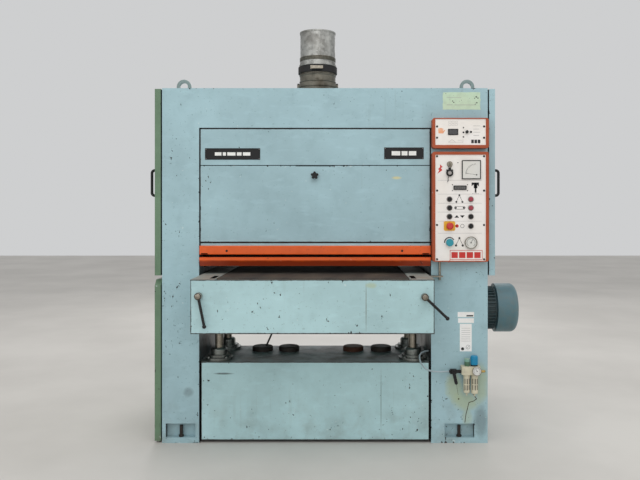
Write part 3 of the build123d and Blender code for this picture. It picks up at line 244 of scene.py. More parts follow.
def enamel(name, colour, node_name, wear=1.0, runs=1.0, seed=0.0, stains_and_shade=(), facing_dirt_and_shade=(), rim=None):
    """Old enamel for one painted part. Stains and shade are patches (x, z, half width, half height,
    colour, strength): real stains, and one band of painted shade on the safety bar. Facing dirt and shade is
    (axis, sign, colour, strength) on faces that look one way: dirt and dust, and painted shade on the
    columns' inner faces."""
    material, tree, shader, where = new_finish(name)
    axes = add_node(tree, "SeparateXYZ", {0: where}).outputs
    edge = edge_distance(tree, axes, *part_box(node_name))
    cloud = span(tree, noise(tree, where, 2.3, 4.0, seed=seed), 0.36, 0.64)
    base = mixed(tree, cloud, shade(colour, 0.90), shade(colour, 1.07))
    blotch = span(tree, noise(tree, where, 14.0, 8.0, seed=seed + 3), 0.50, 0.70)
    base = mixed(tree, calc(tree, "MULTIPLY", blotch, 0.26), base, shade(colour, 0.72))
    smear = span(tree, noise(tree, where, 34.0, 6.0, (0.35, 1, 1), seed + 9), 0.54, 0.72)
    base = mixed(tree, calc(tree, "MULTIPLY", smear, 0.30), base, shade(colour, 1.26))
    streak = span(tree, noise(tree, where, 46.0, 2.0, (1, 1, 0.03), seed + 5), 0.63, 0.72)
    patch = span(tree, noise(tree, where, 2.6, 2.0, seed=seed + 7), 0.48, 0.62)
    run = calc(tree, "MULTIPLY", calc(tree, "MULTIPLY", streak, patch), 0.22 * runs)
    base = mixed(tree, run, base, RUN_COLOUR)
    low_down = calc(tree, "SUBTRACT", 1.0, span(tree, axes[2], 0.0, 0.30))
    grime = calc(tree, "MULTIPLY", low_down, span(tree, noise(tree, where, 9.0, 6.0), 0.46, 0.70))
    base = mixed(tree, calc(tree, "MULTIPLY", grime, 0.42), base, light(104, 98, 84))
    # Real stains, and one patch of painted shade on the safety bar's lower part.
    for x, z, half_width, half_height, patch_colour, strength in stains_and_shade:
        mask = ragged_patch_mask(tree, where, axes, x, z, half_width, half_height)
        base = mixed(tree, calc(tree, "MULTIPLY", mask, strength), base, patch_colour)
    near_edge = calc(tree, "SUBTRACT", 1.0, span(tree, edge, 0.0, 0.009))
    crowd = span(tree, noise(tree, where, 5.5, 3.0, seed=seed + 2), 0.50, 0.68)
    worn = calc(tree, "MULTIPLY", near_edge, 0.09 * wear)
    worn = calc(tree, "ADD", worn, calc(tree, "MULTIPLY", crowd, 0.075 * wear))
    worn = calc(tree, "ADD", worn, calc(tree, "MULTIPLY", low_down, 0.045 * wear))
    speck = calc(tree, "ADD", noise(tree, where, 74.0, 5.0, (1, 1, 0.7), seed + 1), worn)
    chips = span(tree, speck, 0.715, 0.735)
    base = mixed(tree, chips, base, PRIMER)
    rubbed = noise(tree, where, 62.0, 4.0, (0.7, 1, 1), seed + 13)
    rubbed = calc(tree, "ADD", rubbed, calc(tree, "MULTIPLY", worn, 0.6))
    scuff = calc(tree, "MULTIPLY", span(tree, rubbed, 0.72, 0.75), 0.55)
    base = mixed(tree, scuff, base, light(206, 216, 214))
    pits = span(tree, noise(tree, where, 95.0, 3.0, seed=seed + 11), 0.655, 0.70)
    base = mixed(tree, calc(tree, "MULTIPLY", pits, 0.40), base, shade(colour, 0.40))
    # The rim is worn paint, and painted shade along the front face's edges.
    if rim:
        base = mixed(tree, rim_wear_and_shade_mask(tree, where, axes, rim), base, PRIMER)
    # The dirt on the deck and the dust on the table are real. The dark inner faces of the columns are painted
    # shade.
    for axis, sign, dirt_and_shade_colour, strength in facing_dirt_and_shade:
        uneven = span(tree, noise(tree, where, 8.0, 6.0, seed=seed + 4), 0.25, 0.60)
        dirt = calc(tree, "ADD", calc(tree, "MULTIPLY", uneven, 0.35), 0.65)
        dirt = calc(tree, "MULTIPLY", facing_mask(tree, axis, sign), dirt)
        base = mixed(tree, calc(tree, "MULTIPLY", dirt, strength), base, dirt_and_shade_colour)
    tree.links.new(base, shader.inputs["Base Color"])
    gloss = calc(tree, "ADD", 0.44, calc(tree, "MULTIPLY", blotch, 0.16))
    gloss = calc(tree, "ADD", gloss, calc(tree, "MULTIPLY", chips, 0.30))
    tree.links.new(gloss, shader.inputs["Roughness"])
    peel = noise(tree, where, 210.0, 2.0)
    relief = calc(tree, "SUBTRACT", calc(tree, "MULTIPLY", peel, 0.35), chips)
    set_bump(tree, shader, relief, 0.35, 0.0006)
    return material


def finish_node(name, material):
    """Gives one CAD node its finish, on every material slot it has."""
    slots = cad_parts[name].data.materials
    if not slots:
        slots.append(material)
    for index in range(len(slots)):
        slots[index] = material


FRAME_BLUE = light(154, 184, 191)
TABLE_BLUE = light(168, 200, 203)
DOOR_GREEN = light(96, 124, 98)
GUARD_ORANGE = light(220, 88, 8)
BOX_ORANGE = light(158, 66, 20)
DUST, DECK_DIRT, OLIVE = light(138, 128, 114), light(70, 64, 58), light(170, 178, 128)
# BAY_WALL_SHADE is painted shade on the columns' faces that look into the bay.
EYE_GREY, BAY_WALL_SHADE = light(122, 138, 136), light(30, 28, 24)
# SAFETY_BAR_SHADE_ORANGE is painted shade for the underside of the safety bar.
SAFETY_BAR_SHADE_ORANGE = light(140, 46, 12)
STAINS_AND_SHADE = {
    "right_column": [
        (0.662, 0.290, 0.050, 0.085, OLIVE, 0.55), (0.800, 0.300, 0.040, 0.120, OLIVE, 0.50),
        (0.720, 0.215, 0.080, 0.055, OLIVE, 0.55), (0.800, 0.110, 0.040, 0.100, DARK_GRIME, 0.40),
        (0.730, 0.135, 0.030, 0.060, OLIVE, 0.35),
    ],
    "left_column": [(-0.700, 0.260, 0.030, 0.030, DARK_GRIME, 0.35)],
    # Painted shade: the safety bar's lower part is darker, as it would be under light from above.
    "safety_bar": [(0.0, 0.921, 9.0, 0.019, SAFETY_BAR_SHADE_ORANGE, 0.95)],
    "front_door": [(0.370, 1.360, 0.030, 0.009, light(206, 196, 140), 0.8)],
    "table_bed": [(0.202, 0.740, 0.0022, 0.125, RUN_COLOUR, 0.8), (0.226, 0.840, 0.030, 0.016, OLIVE, 0.5)],
    "base_beam": [
        (0.288, 0.215, 0.0016, 0.195, DARK_GRIME, 0.85), (-0.520, 0.355, 0.060, 0.006, PRIMER, 0.7),
    ],
}
# Faces that look one way: dirt on the deck, dust on the table, and painted shade on the columns' inner faces.
FACING_DIRT_AND_SHADE = {
    "left_column": [(0, 1, BAY_WALL_SHADE, 1.0)], "right_column": [(0, -1, BAY_WALL_SHADE, 1.0)],
    "base_beam": [(2, 1, DECK_DIRT, 0.95)], "table_bed": [(2, 1, DUST, 0.85)],
}
# Dark rims round the front faces: worn paint, and painted shade along their edges and seams.
WORN_AND_SHADED_RIMS = {
    "table_bed": (-0.625, 0.525, 0.612, 0.868, 0.0060), "front_frame": (-0.641, 0.541, 0.90, 1.613, 0.0050),
    "front_door": (-0.641, 0.541, 1.029, 1.60, 0.0050), "base_beam": (-0.635, 0.535, 0.015, 0.414, 0.0040),
}
PAINTED = [
    ("left_column", FRAME_BLUE, 1.0, 0.6, 0), ("right_column", FRAME_BLUE, 1.0, 0.6, 0),
    ("head_hood", FRAME_BLUE, 0.25, 0.4, 0), ("front_frame", FRAME_BLUE, 0.3, 0.4, 4),
    ("front_door", FRAME_BLUE, 1.1, 0.5, 8), ("rear_cover", FRAME_BLUE, 0.6, 1.0, 12),
    ("drive_door", FRAME_BLUE, 0.8, 0.7, 16), ("base_beam", TABLE_BLUE, 0.9, 0.6, 20),
    ("table_bed", TABLE_BLUE, 1.6, 0.5, 24), ("belt_door", DOOR_GREEN, 0.6, 0.7, 28),
    ("left_lower_panel", DOOR_GREEN, 0.8, 0.8, 32), ("guard_bar", GUARD_ORANGE, 0.4, 0.2, 36),
    ("safety_bar", GUARD_ORANGE, 0.4, 0.2, 40), ("control_boxes", BOX_ORANGE, 0.5, 0.2, 44),
    ("lifting_eyes", EYE_GREY, 1.0, 0.3, 48),
]
for node_name, colour, wear, runs, seed in PAINTED:
    extras = STAINS_AND_SHADE.get(node_name, ()), FACING_DIRT_AND_SHADE.get(node_name, ()), WORN_AND_SHADED_RIMS.get(node_name)
    finish_node(node_name, enamel(node_name + "_enamel", colour, node_name, wear, runs, seed, *extras))
print("enamelled parts", len(PAINTED))

# %% [markdown]
# ## Metals
# Bare metal shows how it was made. Zinc-dipped sheet has large flat crystals, so a Voronoi pattern
# sets their brightness. Turned steel has fine rings and a film of oil, and cast or blackened iron
# is dull and pitted. All three are one recipe with different numbers.

# %% Metals
def metal(name, colour, roughness, grain, spangle=0.0, dirt=0.3, metallic=0.9, rusty_x=None):
    """Bare metal: grain is how fine its marks are, spangle how strong its crystals. What stands
    within a hand's width of rusty_x is rusted through."""
    material, tree, shader, where = new_finish(name)
    marks = noise(tree, where, grain, 5.0)
    base = mixed(tree, span(tree, marks, 0.35, 0.68), shade(colour, 0.72), shade(colour, 1.12))
    if spangle:
        cells = add_node(tree, "TexVoronoi", {"Vector": where, "Scale": 62.0})
        bright = add_node(tree, "SeparateColor", {0: cells.outputs["Color"]}).outputs[0]
        base = mixed(tree, calc(tree, "MULTIPLY", bright, spangle), base, shade(colour, 1.55))
    stain = span(tree, noise(tree, where, 9.0, 6.0, seed=5.0), 0.50, 0.70)
    base = mixed(tree, calc(tree, "MULTIPLY", stain, dirt), base, light(70, 56, 42))
    if rusty_x is not None:
        x = add_node(tree, "SeparateXYZ", {0: where}).outputs[0]
        away = calc(tree, "ABSOLUTE", calc(tree, "SUBTRACT", x, rusty_x))
        rusted = calc(tree, "LESS_THAN", away, 0.08)
        base = mixed(tree, rusted, base, mixed(tree, marks, light(66, 36, 24), light(92, 54, 34)))
    tree.links.new(base, shader.inputs["Base Color"])
    rough = calc(tree, "ADD", roughness, calc(tree, "MULTIPLY", stain, 0.22))
    tree.links.new(rough, shader.inputs["Roughness"])
    shader.inputs["Metallic"].default_value = metallic
    set_bump(tree, shader, marks, 0.22, 0.0006)
    return material


galvanised = metal("galvanised_sheet", light(150, 150, 146), 0.40, 40.0, spangle=0.6, dirt=0.42)
collar_zinc = metal("stained_zinc", light(112, 108, 98), 0.50, 34.0, spangle=0.30, dirt=0.65)
turned_steel = metal("oily_turned_steel", light(150, 143, 130), 0.34, 120.0, dirt=0.40)
black_iron = metal("blackened_iron", light(26, 25, 25), 0.55, 90.0, dirt=0.2, metallic=0.3)
jack_iron = metal("greasy_steel", light(126, 130, 126), 0.32, 70.0, dirt=0.45)
satin_steel = metal("satin_bezel_steel", light(160, 154, 150), 0.36, 160.0, dirt=0.2)
pad_iron = metal("old_cast_iron", light(52, 46, 42), 0.60, 60.0, dirt=0.5, metallic=0.4, rusty_x=0.149)
brass = metal("dull_brass", light(186, 156, 92), 0.36, 90.0, dirt=0.25)
NODE_METALS = {
    "levelling_feet": pad_iron, "extraction_collar": collar_zinc,
    "clamp_ring": black_iron, "duct_pipe": galvanised, "head_beam": black_iron,
    "jack_housings": jack_iron, "contact_drum": turned_steel, "tension_yoke": black_iron,
    "tension_roller": turned_steel, "motor_rotor": turned_steel, "lift_screws": turned_steel,
    "height_pointer": turned_steel, "drive_roller": turned_steel, "tail_roller": turned_steel,
    "left_clamp_lever": black_iron, "right_clamp_lever": black_iron, "key_switch": turned_steel,
}
for node_name, material in NODE_METALS.items():
    finish_node(node_name, material)
print("metal parts", len(NODE_METALS))

# %% [markdown]
# ## Plastics, rubber and belts
# Moulded plastic is an even colour with a fine grain and a soft shine, and it greys with handling.
# Rubber is rougher and dusty. The sanding belt is grit on cloth, and the conveyor belt is rubber
# pressed with fine ribs that lie across the feed, so its bump is a wave and not plain noise.

# %% Plastics, rubber and belts
def moulded(name, colour, roughness=0.42, dust=0.15, grain=420.0, coat=0.0, shine=0.35):
    """Moulded plastic or paint on a small casting, with handling marks."""
    material, tree, shader, where = new_finish(name)
    marks = span(tree, noise(tree, where, 30.0, 5.0), 0.42, 0.70)
    base = mixed(tree, calc(tree, "MULTIPLY", marks, dust), shade(colour, 1.05), light(120, 114, 104))
    tree.links.new(base, shader.inputs["Base Color"])
    rough = calc(tree, "ADD", roughness, calc(tree, "MULTIPLY", marks, 0.18))
    tree.links.new(rough, shader.inputs["Roughness"])
    shader.inputs["Coat Weight"].default_value = coat
    shader.inputs["Specular IOR Level"].default_value = shine
    set_bump(tree, shader, noise(tree, where, grain, 2.0), 0.15, 0.0003)
    return material


def ribbed_rubber(name, colour, ribs, dust):
    """Rubber with ribs that lie across the Y axis."""
    material, tree, shader, where = new_finish(name)
    wave = add_node(tree, "TexWave", {"Vector": where, "Scale": ribs, "Distortion": 0.4}, bands_direction="Y")
    worn = span(tree, noise(tree, where, 7.0, 6.0, (1, 0.4, 1)), 0.38, 0.70)
    base = mixed(tree, calc(tree, "MULTIPLY", worn, dust), colour, light(176, 158, 132))
    base = mixed(tree, calc(tree, "MULTIPLY", wave.outputs["Fac"], 0.25), base, shade(colour, 0.55))
    tree.links.new(base, shader.inputs["Base Color"])
    shader.inputs["Roughness"].default_value = 0.78
    set_bump(tree, shader, wave.outputs["Fac"], 0.5, 0.0012)
    return material


def abrasive_cloth(name):
    """Coated abrasive: coarse brown grit, loaded with dust in bands."""
    material, tree, shader, where = new_finish(name)
    grit = add_node(tree, "TexVoronoi", {"Vector": where, "Scale": 900.0}).outputs["Distance"]
    base = mixed(tree, grit, light(92, 58, 40), light(150, 96, 62))
    bands = span(tree, noise(tree, where, 5.0, 3.0, (3, 0.2, 0.2)), 0.45, 0.65)
    base = mixed(tree, calc(tree, "MULTIPLY", bands, 0.35), base, light(190, 168, 134))
    tree.links.new(base, shader.inputs["Base Color"])
    shader.inputs["Roughness"].default_value = 0.85
    set_bump(tree, shader, grit, 0.6, 0.0005)
    return material


black_plastic = moulded("black_plastic", light(14, 14, 16), 0.50, 0.03)
red_plastic = moulded("red_plastic", light(150, 34, 54), 0.30, 0.10, coat=0.3)
stop_red = moulded("stop_red", light(186, 28, 26), 0.28, 0.10, coat=0.4)
teal_plastic = moulded("teal_plastic", light(14, 136, 152), 0.30, 0.08, coat=0.3)
blue_plastic = moulded("blue_plastic", light(0, 130, 172), 0.34, 0.10, coat=0.2)
green_plastic = moulded("green_plastic", light(72, 108, 86), 0.38, 0.15)
pale_green = moulded("pale_green_plastic", light(122, 164, 150), 0.40, 0.15)
beige_casting = moulded("beige_casting", light(202, 196, 172), 0.46, 0.35, 160.0)
motor_enamel = moulded("motor_enamel", light(82, 114, 122), 0.34, 0.30, 150.0, shine=0.5)
# The finned housing is a darker copy of the motor enamel: painted shade between the fins, with some dust.
fin_enamel_painted_shade = moulded("dusty_shaded_fin_enamel", light(56, 74, 78), 0.45, 0.25, 150.0)
hose_grey = moulded("hose_grey", light(158, 172, 178), 0.38, 0.20)
roller_rubber = moulded("roller_rubber", light(38, 38, 38), 0.72, 0.30, 300.0)
belt_rubber = moulded("vee_belt_rubber", light(30, 30, 30), 0.65, 0.25, 300.0)
conveyor_rubber = ribbed_rubber("conveyor_rubber", light(44, 40, 35), 42.0, 0.15)
air_hose.data.materials.append(hose_grey)
NODE_PLASTICS = {
    "door_knob": black_plastic, "belt_door_handle": black_plastic, "drive_door_handle": black_plastic,
    "thickness_knob": black_plastic, "valve_lever": black_plastic, "air_fittings": black_plastic,
    "sander_start_button": black_plastic, "feed_start_button": black_plastic,
    "table_up_button": black_plastic, "table_down_button": black_plastic, "reset_button": black_plastic,
    "sander_stop_button": red_plastic, "feed_stop_button": red_plastic, "emergency_stop": stop_red,
    "tension_knob": teal_plastic, "regulator_knob": blue_plastic, "filter_regulator": beige_casting,
    "motor_housing": fin_enamel_painted_shade, "fan_cowl": motor_enamel, "feed_gearmotor": motor_enamel,
    "front_hold_down_roller": roller_rubber, "rear_hold_down_roller": roller_rubber,
    "vee_belts": belt_rubber, "conveyor_belt": conveyor_rubber,
    "abrasive_belt": abrasive_cloth("abrasive_cloth"), "air_hose": hose_grey,
}
for node_name, material in NODE_PLASTICS.items():
    finish_node(node_name, material)
print("plastic and rubber parts", len(NODE_PLASTICS))

# %% [markdown]
# ## Printed sheet
# The control plates are thin white sheet with a screen-printed face. White that is really white
# looks pasted on, so it is warmed a little and greyed by fingers around the controls. The same
# recipe makes the paper labels and the inks, with more or less dirt.

# %% Printed sheet and inks
def printed(name, colour, dirt=0.2, roughness=0.45, scale=16.0):
    """A printed or papered face with handling dirt."""
    material, tree, shader, where = new_finish(name)
    smear = span(tree, noise(tree, where, scale, 6.0), 0.46, 0.74)
    base = mixed(tree, calc(tree, "MULTIPLY", smear, dirt), colour, shade(colour, 0.55))
    warm = span(tree, noise(tree, where, 4.0, 2.0, seed=2.0), 0.40, 0.65)
    base = mixed(tree, calc(tree, "MULTIPLY", warm, 0.22), base, light(206, 190, 160))
    tree.links.new(base, shader.inputs["Base Color"])
    rough = calc(tree, "ADD", roughness, calc(tree, "MULTIPLY", smear, 0.2))
    tree.links.new(rough, shader.inputs["Roughness"])
    set_bump(tree, shader, noise(tree, where, 300.0, 2.0), 0.10, 0.0002)
    return material


plate_white = printed("printed_white", light(236, 232, 228), 0.16)
ink_black = moulded("ink_black", light(30, 30, 32), 0.5, 0.05)
ink_grey = moulded("ink_grey", light(150, 148, 146), 0.5, 0.05)
ink_red = moulded("ink_red", light(190, 48, 44), 0.5, 0.05)
ink_orange = moulded("ink_orange", light(226, 160, 120), 0.5, 0.05)
ink_white = moulded("ink_white", light(226, 226, 222), 0.5, 0.12)
window_grey = moulded("window_grey", light(88, 86, 84), 0.25, 0.05, coat=0.4)
oil_brown = moulded("oil_brown", light(60, 50, 34), 0.30, 0.10, coat=0.3)
# Black for painted shade: the dark inside of the machine seen through its seams and slots.
painted_shade_black = moulded("painted_shade_black", light(6, 6, 6), 0.9, 0.0, shine=0.05)
dial_white = printed("dial_white", light(214, 214, 210), 0.10)
display_black = moulded("display_black", light(34, 33, 36), 0.18, 0.05, coat=0.6)
sign_yellow = printed("sign_yellow", light(226, 168, 40), 0.15)
paper_label = printed("paper_label", light(242, 242, 242), 0.16, 0.6, 50.0)
green_label = printed("faded_green_label", light(186, 210, 184), 0.30, 0.6, 40.0)
finish_node("control_plates", plate_white)
finish_node("panel_meters", black_plastic)
print("printed faces ready")

# %% [markdown]
# ## Making small trim
# Trim is many small solids of a few kinds: a bevelled block, a turned piece, and a flat printed
# shape. Each kind is one function. Turned pieces are a profile spun about an axis, which is how a
# lathe makes them, and one mesh can hold a whole row of them, as a packet of screws does.

# %% Blocks, turned pieces and flat shapes
def show(name, mesh, material, body):
    """Puts a mesh into the scene as a piece that rides on a body."""
    mesh.materials.append(material)
    piece = bpy.data.objects.new(name, mesh)
    bpy.context.scene.collection.objects.link(piece)
    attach(piece, body)
    return piece


def blocks(name, boxes, material, body="root", bevel=0.002):
    """Bevelled blocks in one mesh, each given by its low and high corner."""
    mesh, work = bpy.data.meshes.new(name), bmesh.new()
    for low, high in boxes:
        low, high = Vector(low), Vector(high)
        made = bmesh.ops.create_cube(work, size=1.0)["verts"]
        size = Matrix.Diagonal((*(high - low), 1.0))
        bmesh.ops.transform(work, matrix=Matrix.Translation((low + high) / 2) @ size, verts=made)
    width = min(bevel, *(min(Vector(h) - Vector(l)) * 0.45 for l, h in boxes))
    bmesh.ops.bevel(work, geom=work.edges[:], offset=width, segments=2, affect="EDGES", profile=0.6)
    work.to_mesh(mesh)
    work.free()
    return show(name, mesh, material, body)


AXIS_TURNS = {
    "x": Matrix.Rotation(math.radians(90), 4, "Y"), "z": Matrix.Identity(4),
    "-y": Matrix.Rotation(math.radians(90), 4, "X"), "y": Matrix.Rotation(math.radians(-90), 4, "X"),
}


def turned(name, profile, places, axis, material, body="root", sides=40):
    """Turned pieces in one mesh. The profile is (radius, height) along the axis."""
    vertices, faces = [], []
    for place in places:
        spin = Matrix.Translation(Vector(place)) @ AXIS_TURNS[axis]
        start = len(vertices)
        for radius, height in profile:
            for step in range(sides):
                angle = 2 * math.pi * step / sides
                vertices.append(spin @ Vector((radius * math.cos(angle), radius * math.sin(angle), height)))
        for ring in range(len(profile) - 1):
            for step in range(sides):
                after = (step + 1) % sides
                low, high = start + ring * sides, start + (ring + 1) * sides
                faces.append((low + step, low + after, high + after, high + step))
    mesh = bpy.data.meshes.new(name)
    mesh.from_pydata(vertices, [], faces)
    work = bmesh.new()
    work.from_mesh(mesh)
    bmesh.ops.remove_doubles(work, verts=work.verts, dist=1e-7)
    bmesh.ops.recalc_face_normals(work, faces=work.faces)
    work.to_mesh(mesh)
    work.free()
    mesh.shade_smooth()
    mesh.set_sharp_from_angle(angle=math.radians(35))
    return show(name, mesh, material, body)


def flat_shapes(name, outlines, y_face, material, body="root", thickness=0.0004):
    """Flat printed shapes that face the operator: each outline is a list of (x, z)."""
    mesh, work = bpy.data.meshes.new(name), bmesh.new()
    for outline in outlines:
        ring = [work.verts.new((x, y_face, z)) for x, z in outline]
        face = work.faces.new(ring)
        corners = zip(outline, outline[1:] + outline[:1])
        runs_clockwise = sum(a[0] * b[1] - b[0] * a[1] for a, b in corners) < 0
        if face.normal.y > 0 or runs_clockwise:
            face.normal_flip()
        raised = bmesh.ops.extrude_face_region(work, geom=[face])["geom"]
        moved = [v for v in raised if isinstance(v, bmesh.types.BMVert)]
        bmesh.ops.translate(work, vec=(0, -thickness, 0), verts=moved)
    bmesh.ops.recalc_face_normals(work, faces=work.faces)
    work.to_mesh(mesh)
    work.free()
    return show(name, mesh, material, body)


def bar(x0, x1, z0, z1):
    """An upright rectangle as an outline."""
    return [(x0, z0), (x1, z0), (x1, z1), (x0, z1)]


def window(x, z, half_width, half_height):
    """An upright rectangle round its middle."""
    return bar(x - half_width, x + half_width, z - half_height, z + half_height)


def stroke(a, b, width):
    """A straight printed line of a given width, as an outline."""
    along = (Vector(b) - Vector(a)).normalized() * width / 2
    side = Vector((-along.y, along.x))
    corners = (Vector(a) + side, Vector(a) - side, Vector(b) - side, Vector(b) + side)
    return [tuple(c) for c in corners]


def arc_strokes(x, z, radius, start, stop, width, steps=24):
    """A curved printed line, as short strokes that share their ends."""
    outlines = []
    for step in range(steps):
        a = math.radians(start + (stop - start) * step / steps)
        b = math.radians(start + (stop - start) * (step + 1) / steps)
        ring = []
        for angle, reach in ((a, -1), (b, -1), (b, 1), (a, 1)):
            r = radius + reach * width / 2
            ring.append((x + r * math.cos(angle), z + r * math.sin(angle)))
        outlines.append(ring)
    return outlines


def disc(x, z, radius, sides=28):
    """A round printed spot."""
    steps = [2 * math.pi * step / sides for step in range(sides)]
    return [(x + radius * math.cos(a), z + radius * math.sin(a)) for a in steps]


def frame_lines(x0, x1, z0, z1, width):
    """The outline of a rectangle as four bars."""
    return [
        bar(x0, x1, z0, z0 + width), bar(x0, x1, z1 - width, z1),
        bar(x0, x0 + width, z0 + width, z1 - width), bar(x1 - width, x1, z0 + width, z1 - width),
    ]


print("trim tools ready")

# %% [markdown]
# ## Name plates
# Two black plates are riveted to the fixed strip above the front door. Lettering on such a plate
# belongs to a maker, so these carry only a short row of blank pale blocks and their rivets.

# %% Name plates
strip_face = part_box("front_frame")[0].y
BAY_LEFT, BAY_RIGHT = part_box("head_hood")[0].x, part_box("head_hood")[1].x
BAY_MIDDLE = (BAY_LEFT + BAY_RIGHT) / 2


def name_plate(name, x0, x1, z0, z1, block_widths, block_height):
    """A black riveted plate with blank blocks of the given widths, centred on it."""
    face = strip_face - 1.6 * MM
    blocks(name, [((x0, face, z0), (x1, strip_face + 0.5 * MM, z1))], black_plastic, bevel=0.7 * MM)
    gap, middle = 7 * MM, (z0 + z1) / 2
    x = (x0 + x1 - sum(block_widths) - gap * (len(block_widths) - 1)) / 2
    marks = []
    for width in block_widths:
        marks.append(bar(x, x + width, middle - block_height / 2, middle + block_height / 2))
        x += width + gap
    flat_shapes(name + "_print", marks, face, ink_white)
    rivets = [(x, face, z) for x in (x0 + 5 * MM, x1 - 5 * MM) for z in (z0 + 5 * MM, z1 - 5 * MM)]
    turned(name + "_rivets", in_mm([(0, 0.9), (1.6, 0.6), (2.1, 0)]), rivets, "-y", satin_steel, sides=14)


name_plate("left_name_plate", -0.615, -0.332, 1.453, 1.512, [w * MM for w in (34, 16, 42, 24, 38)], 17 * MM)
name_plate("right_name_plate", 0.304, 0.507, 1.456, 1.516, [w * MM for w in (44, 30, 38)], 22 * MM)
print("name plates at", round(strip_face, 4))

# %% [markdown]
# ## Seams between the panels
# The panels are loose sheets with a few millimetres of air between them, and behind each seam is
# the dark inside of the machine. A black strip set back in a seam is painted shade: it gives that
# darkness at any angle and keeps daylight from showing through from behind. No strip touches a door
# that swings.

# %% Seam strips
door_low, door_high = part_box("front_door")
door_face = door_low.y
hood_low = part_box("head_hood")[0]
frame_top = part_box("front_frame")[1].z
seal_y = (door_face + 4 * MM, door_face + 16 * MM)
base_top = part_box("base_beam")[1].z


def seam_strip(x0, x1, z0, z1):
    """A strip set back in a seam, as the two corners of its block."""
    return (x0, seal_y[0], z0), (x1, seal_y[1], z1)


seams = [
    seam_strip(BAY_LEFT, BAY_RIGHT, frame_top - 0.5 * MM, hood_low.z + 0.5 * MM),
    seam_strip(BAY_LEFT + 5 * MM, BAY_RIGHT - 5 * MM, door_high.z + 0.8 * MM, door_high.z + 4.5 * MM),
]
for side in (BAY_LEFT, BAY_RIGHT - 3.4 * MM):
    seams.append(seam_strip(side, side + 3.4 * MM, 1.045, frame_top))
for side in (BAY_LEFT, BAY_RIGHT - 10.5 * MM):
    seams.append(seam_strip(side, side + 10.5 * MM, 0.020, base_top - 0.008))
for door, out in (("belt_door", -1), ("drive_door", 1)):
    low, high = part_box(door)
    door_inner = high.x if out < 0 else low.x
    wall_x = door_inner - out * 8 * MM
    x0, x1 = sorted((wall_x - out * 1 * MM, door_inner - out * 2 * MM))
    seams.append(seam_strip(x0, x1, low.z + 0.004, high.z - 0.004))
# The strips are painted shade in the seams.
blocks("panel_seam_shade_strips", seams, painted_shade_black, bevel=0.3 * MM)
lip_z = door_high.z
lip_low = (BAY_MIDDLE - 0.10, door_face - 0.8 * MM, lip_z - 3 * MM)
lip_high = (BAY_MIDDLE + 0.10, door_face + 2 * MM, lip_z - 0.5 * MM)
blocks("finger_gap_lip", [(lip_low, lip_high)], black_plastic, "front_door", 0.5 * MM)
stops = []
for z in (1.205, 1.095):
    for x in (door_low.x + 0.010, door_high.x - 0.016):
        stops.append(((x, door_face - 1.5 * MM, z - 9 * MM), (x + 5 * MM, door_face + 2 * MM, z + 9 * MM)))
blocks("door_side_stops", stops, black_plastic, "front_door", 0.8 * MM)
print("seam strips", len(seams))

# %% [markdown]
# ## Buttons and screws on the control plates
# Each push-button sits in a turned metal bezel, and each plate is held by black pan-head screws.
# Their places are read from the buttons themselves, so a bezel can't drift away from its button.

# %% Bezels and plate screws
plate_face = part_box("control_plates")[0].y
BUTTONS = [
    "sander_start_button", "sander_stop_button", "feed_start_button", "feed_stop_button",
    "table_up_button", "table_down_button", "reset_button",
]


def on_plate(node):
    """The point on the plate's face in front of a node."""
    middle = centre(node)
    return Vector((middle.x, plate_face, middle.z))


BEZEL = in_mm([(11.25, 0), (14.75, 0), (14.75, 2.2), (13.2, 4.0), (11.8, 4.4), (11.25, 3.8), (11.25, 0)])
turned("button_bezels", BEZEL, [on_plate(n) for n in BUTTONS], "-y", satin_steel)
boxes_low, boxes_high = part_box("control_boxes")
screw_x = (boxes_low.x + 24 * MM, boxes_high.x - 24 * MM)
lower_z = (945.6, 1119.4, 1293.3, 1467.0)
upper_z = (1561.0, 1618.0)
screw_spots = [(x, plate_face, z * MM) for x in screw_x for z in (*lower_z, *upper_z)]
PAN_HEAD = in_mm([(0, 2.6), (1.6, 2.6), (4.2, 2.0), (5.4, 0.8), (5.4, 0)])
turned("plate_screws", PAN_HEAD, screw_spots, "-y", black_iron, sides=20)
stop_spot = on_plate("emergency_stop")
half_w, half_h, hole = 29 * MM, 24 * MM, 9.4 * MM
ring_shapes = []
for step in range(32):
    a, b = (2 * math.pi * (step + k) / 32 for k in (0, 1))
    inner = [(stop_spot.x + hole * math.cos(t), stop_spot.z + hole * math.sin(t)) for t in (a, b)]
    outer = []
    for t in (b, a):
        reach = min(half_w / max(abs(math.cos(t)), 1e-6), half_h / max(abs(math.sin(t)), 1e-6))
        outer.append((stop_spot.x + reach * math.cos(t), stop_spot.z + reach * math.sin(t)))
    ring_shapes.append(inner + outer)
flat_shapes("stop_backing_plate", ring_shapes, plate_face, sign_yellow, thickness=0.0012)
STOP_COLLAR = in_mm([(9.4, 0), (15.5, 0), (15.5, 1.6), (13, 2.4), (9.4, 2.4), (9.4, 0)])
turned("stop_collar", STOP_COLLAR, [stop_spot + Vector((0, -1.2 * MM, 0))], "-y", black_plastic)
print("bezels", len(BUTTONS), "screws", len(screw_spots))

# %% [markdown]
# ## Printed symbols
# Between the buttons the plate carries simple pictures of what each pair does: a belt over two
# rollers, a conveyor, up and down. They are thin raised shapes, so they survive in the exported
# mesh. The foot of the plate carries a plain red frame round four blank bars.

# %% Symbols
left_x, right_x = centre("sander_start_button").x, centre("sander_stop_button").x
middle_x = (left_x + right_x) / 2 - 4 * MM
row = {name: centre(name).z for name in BUTTONS}
lines_z = (1345.0, 1275.0, 1229.0, 1184.0, 1138.0, 1077.0)
line_left, line_right = boxes_low.x + 28 * MM, boxes_high.x - 36 * MM
separators = [bar(line_left, line_right, z * MM, (z + 1.1) * MM) for z in lines_z]
flat_shapes("plate_separators", separators, plate_face, ink_grey)


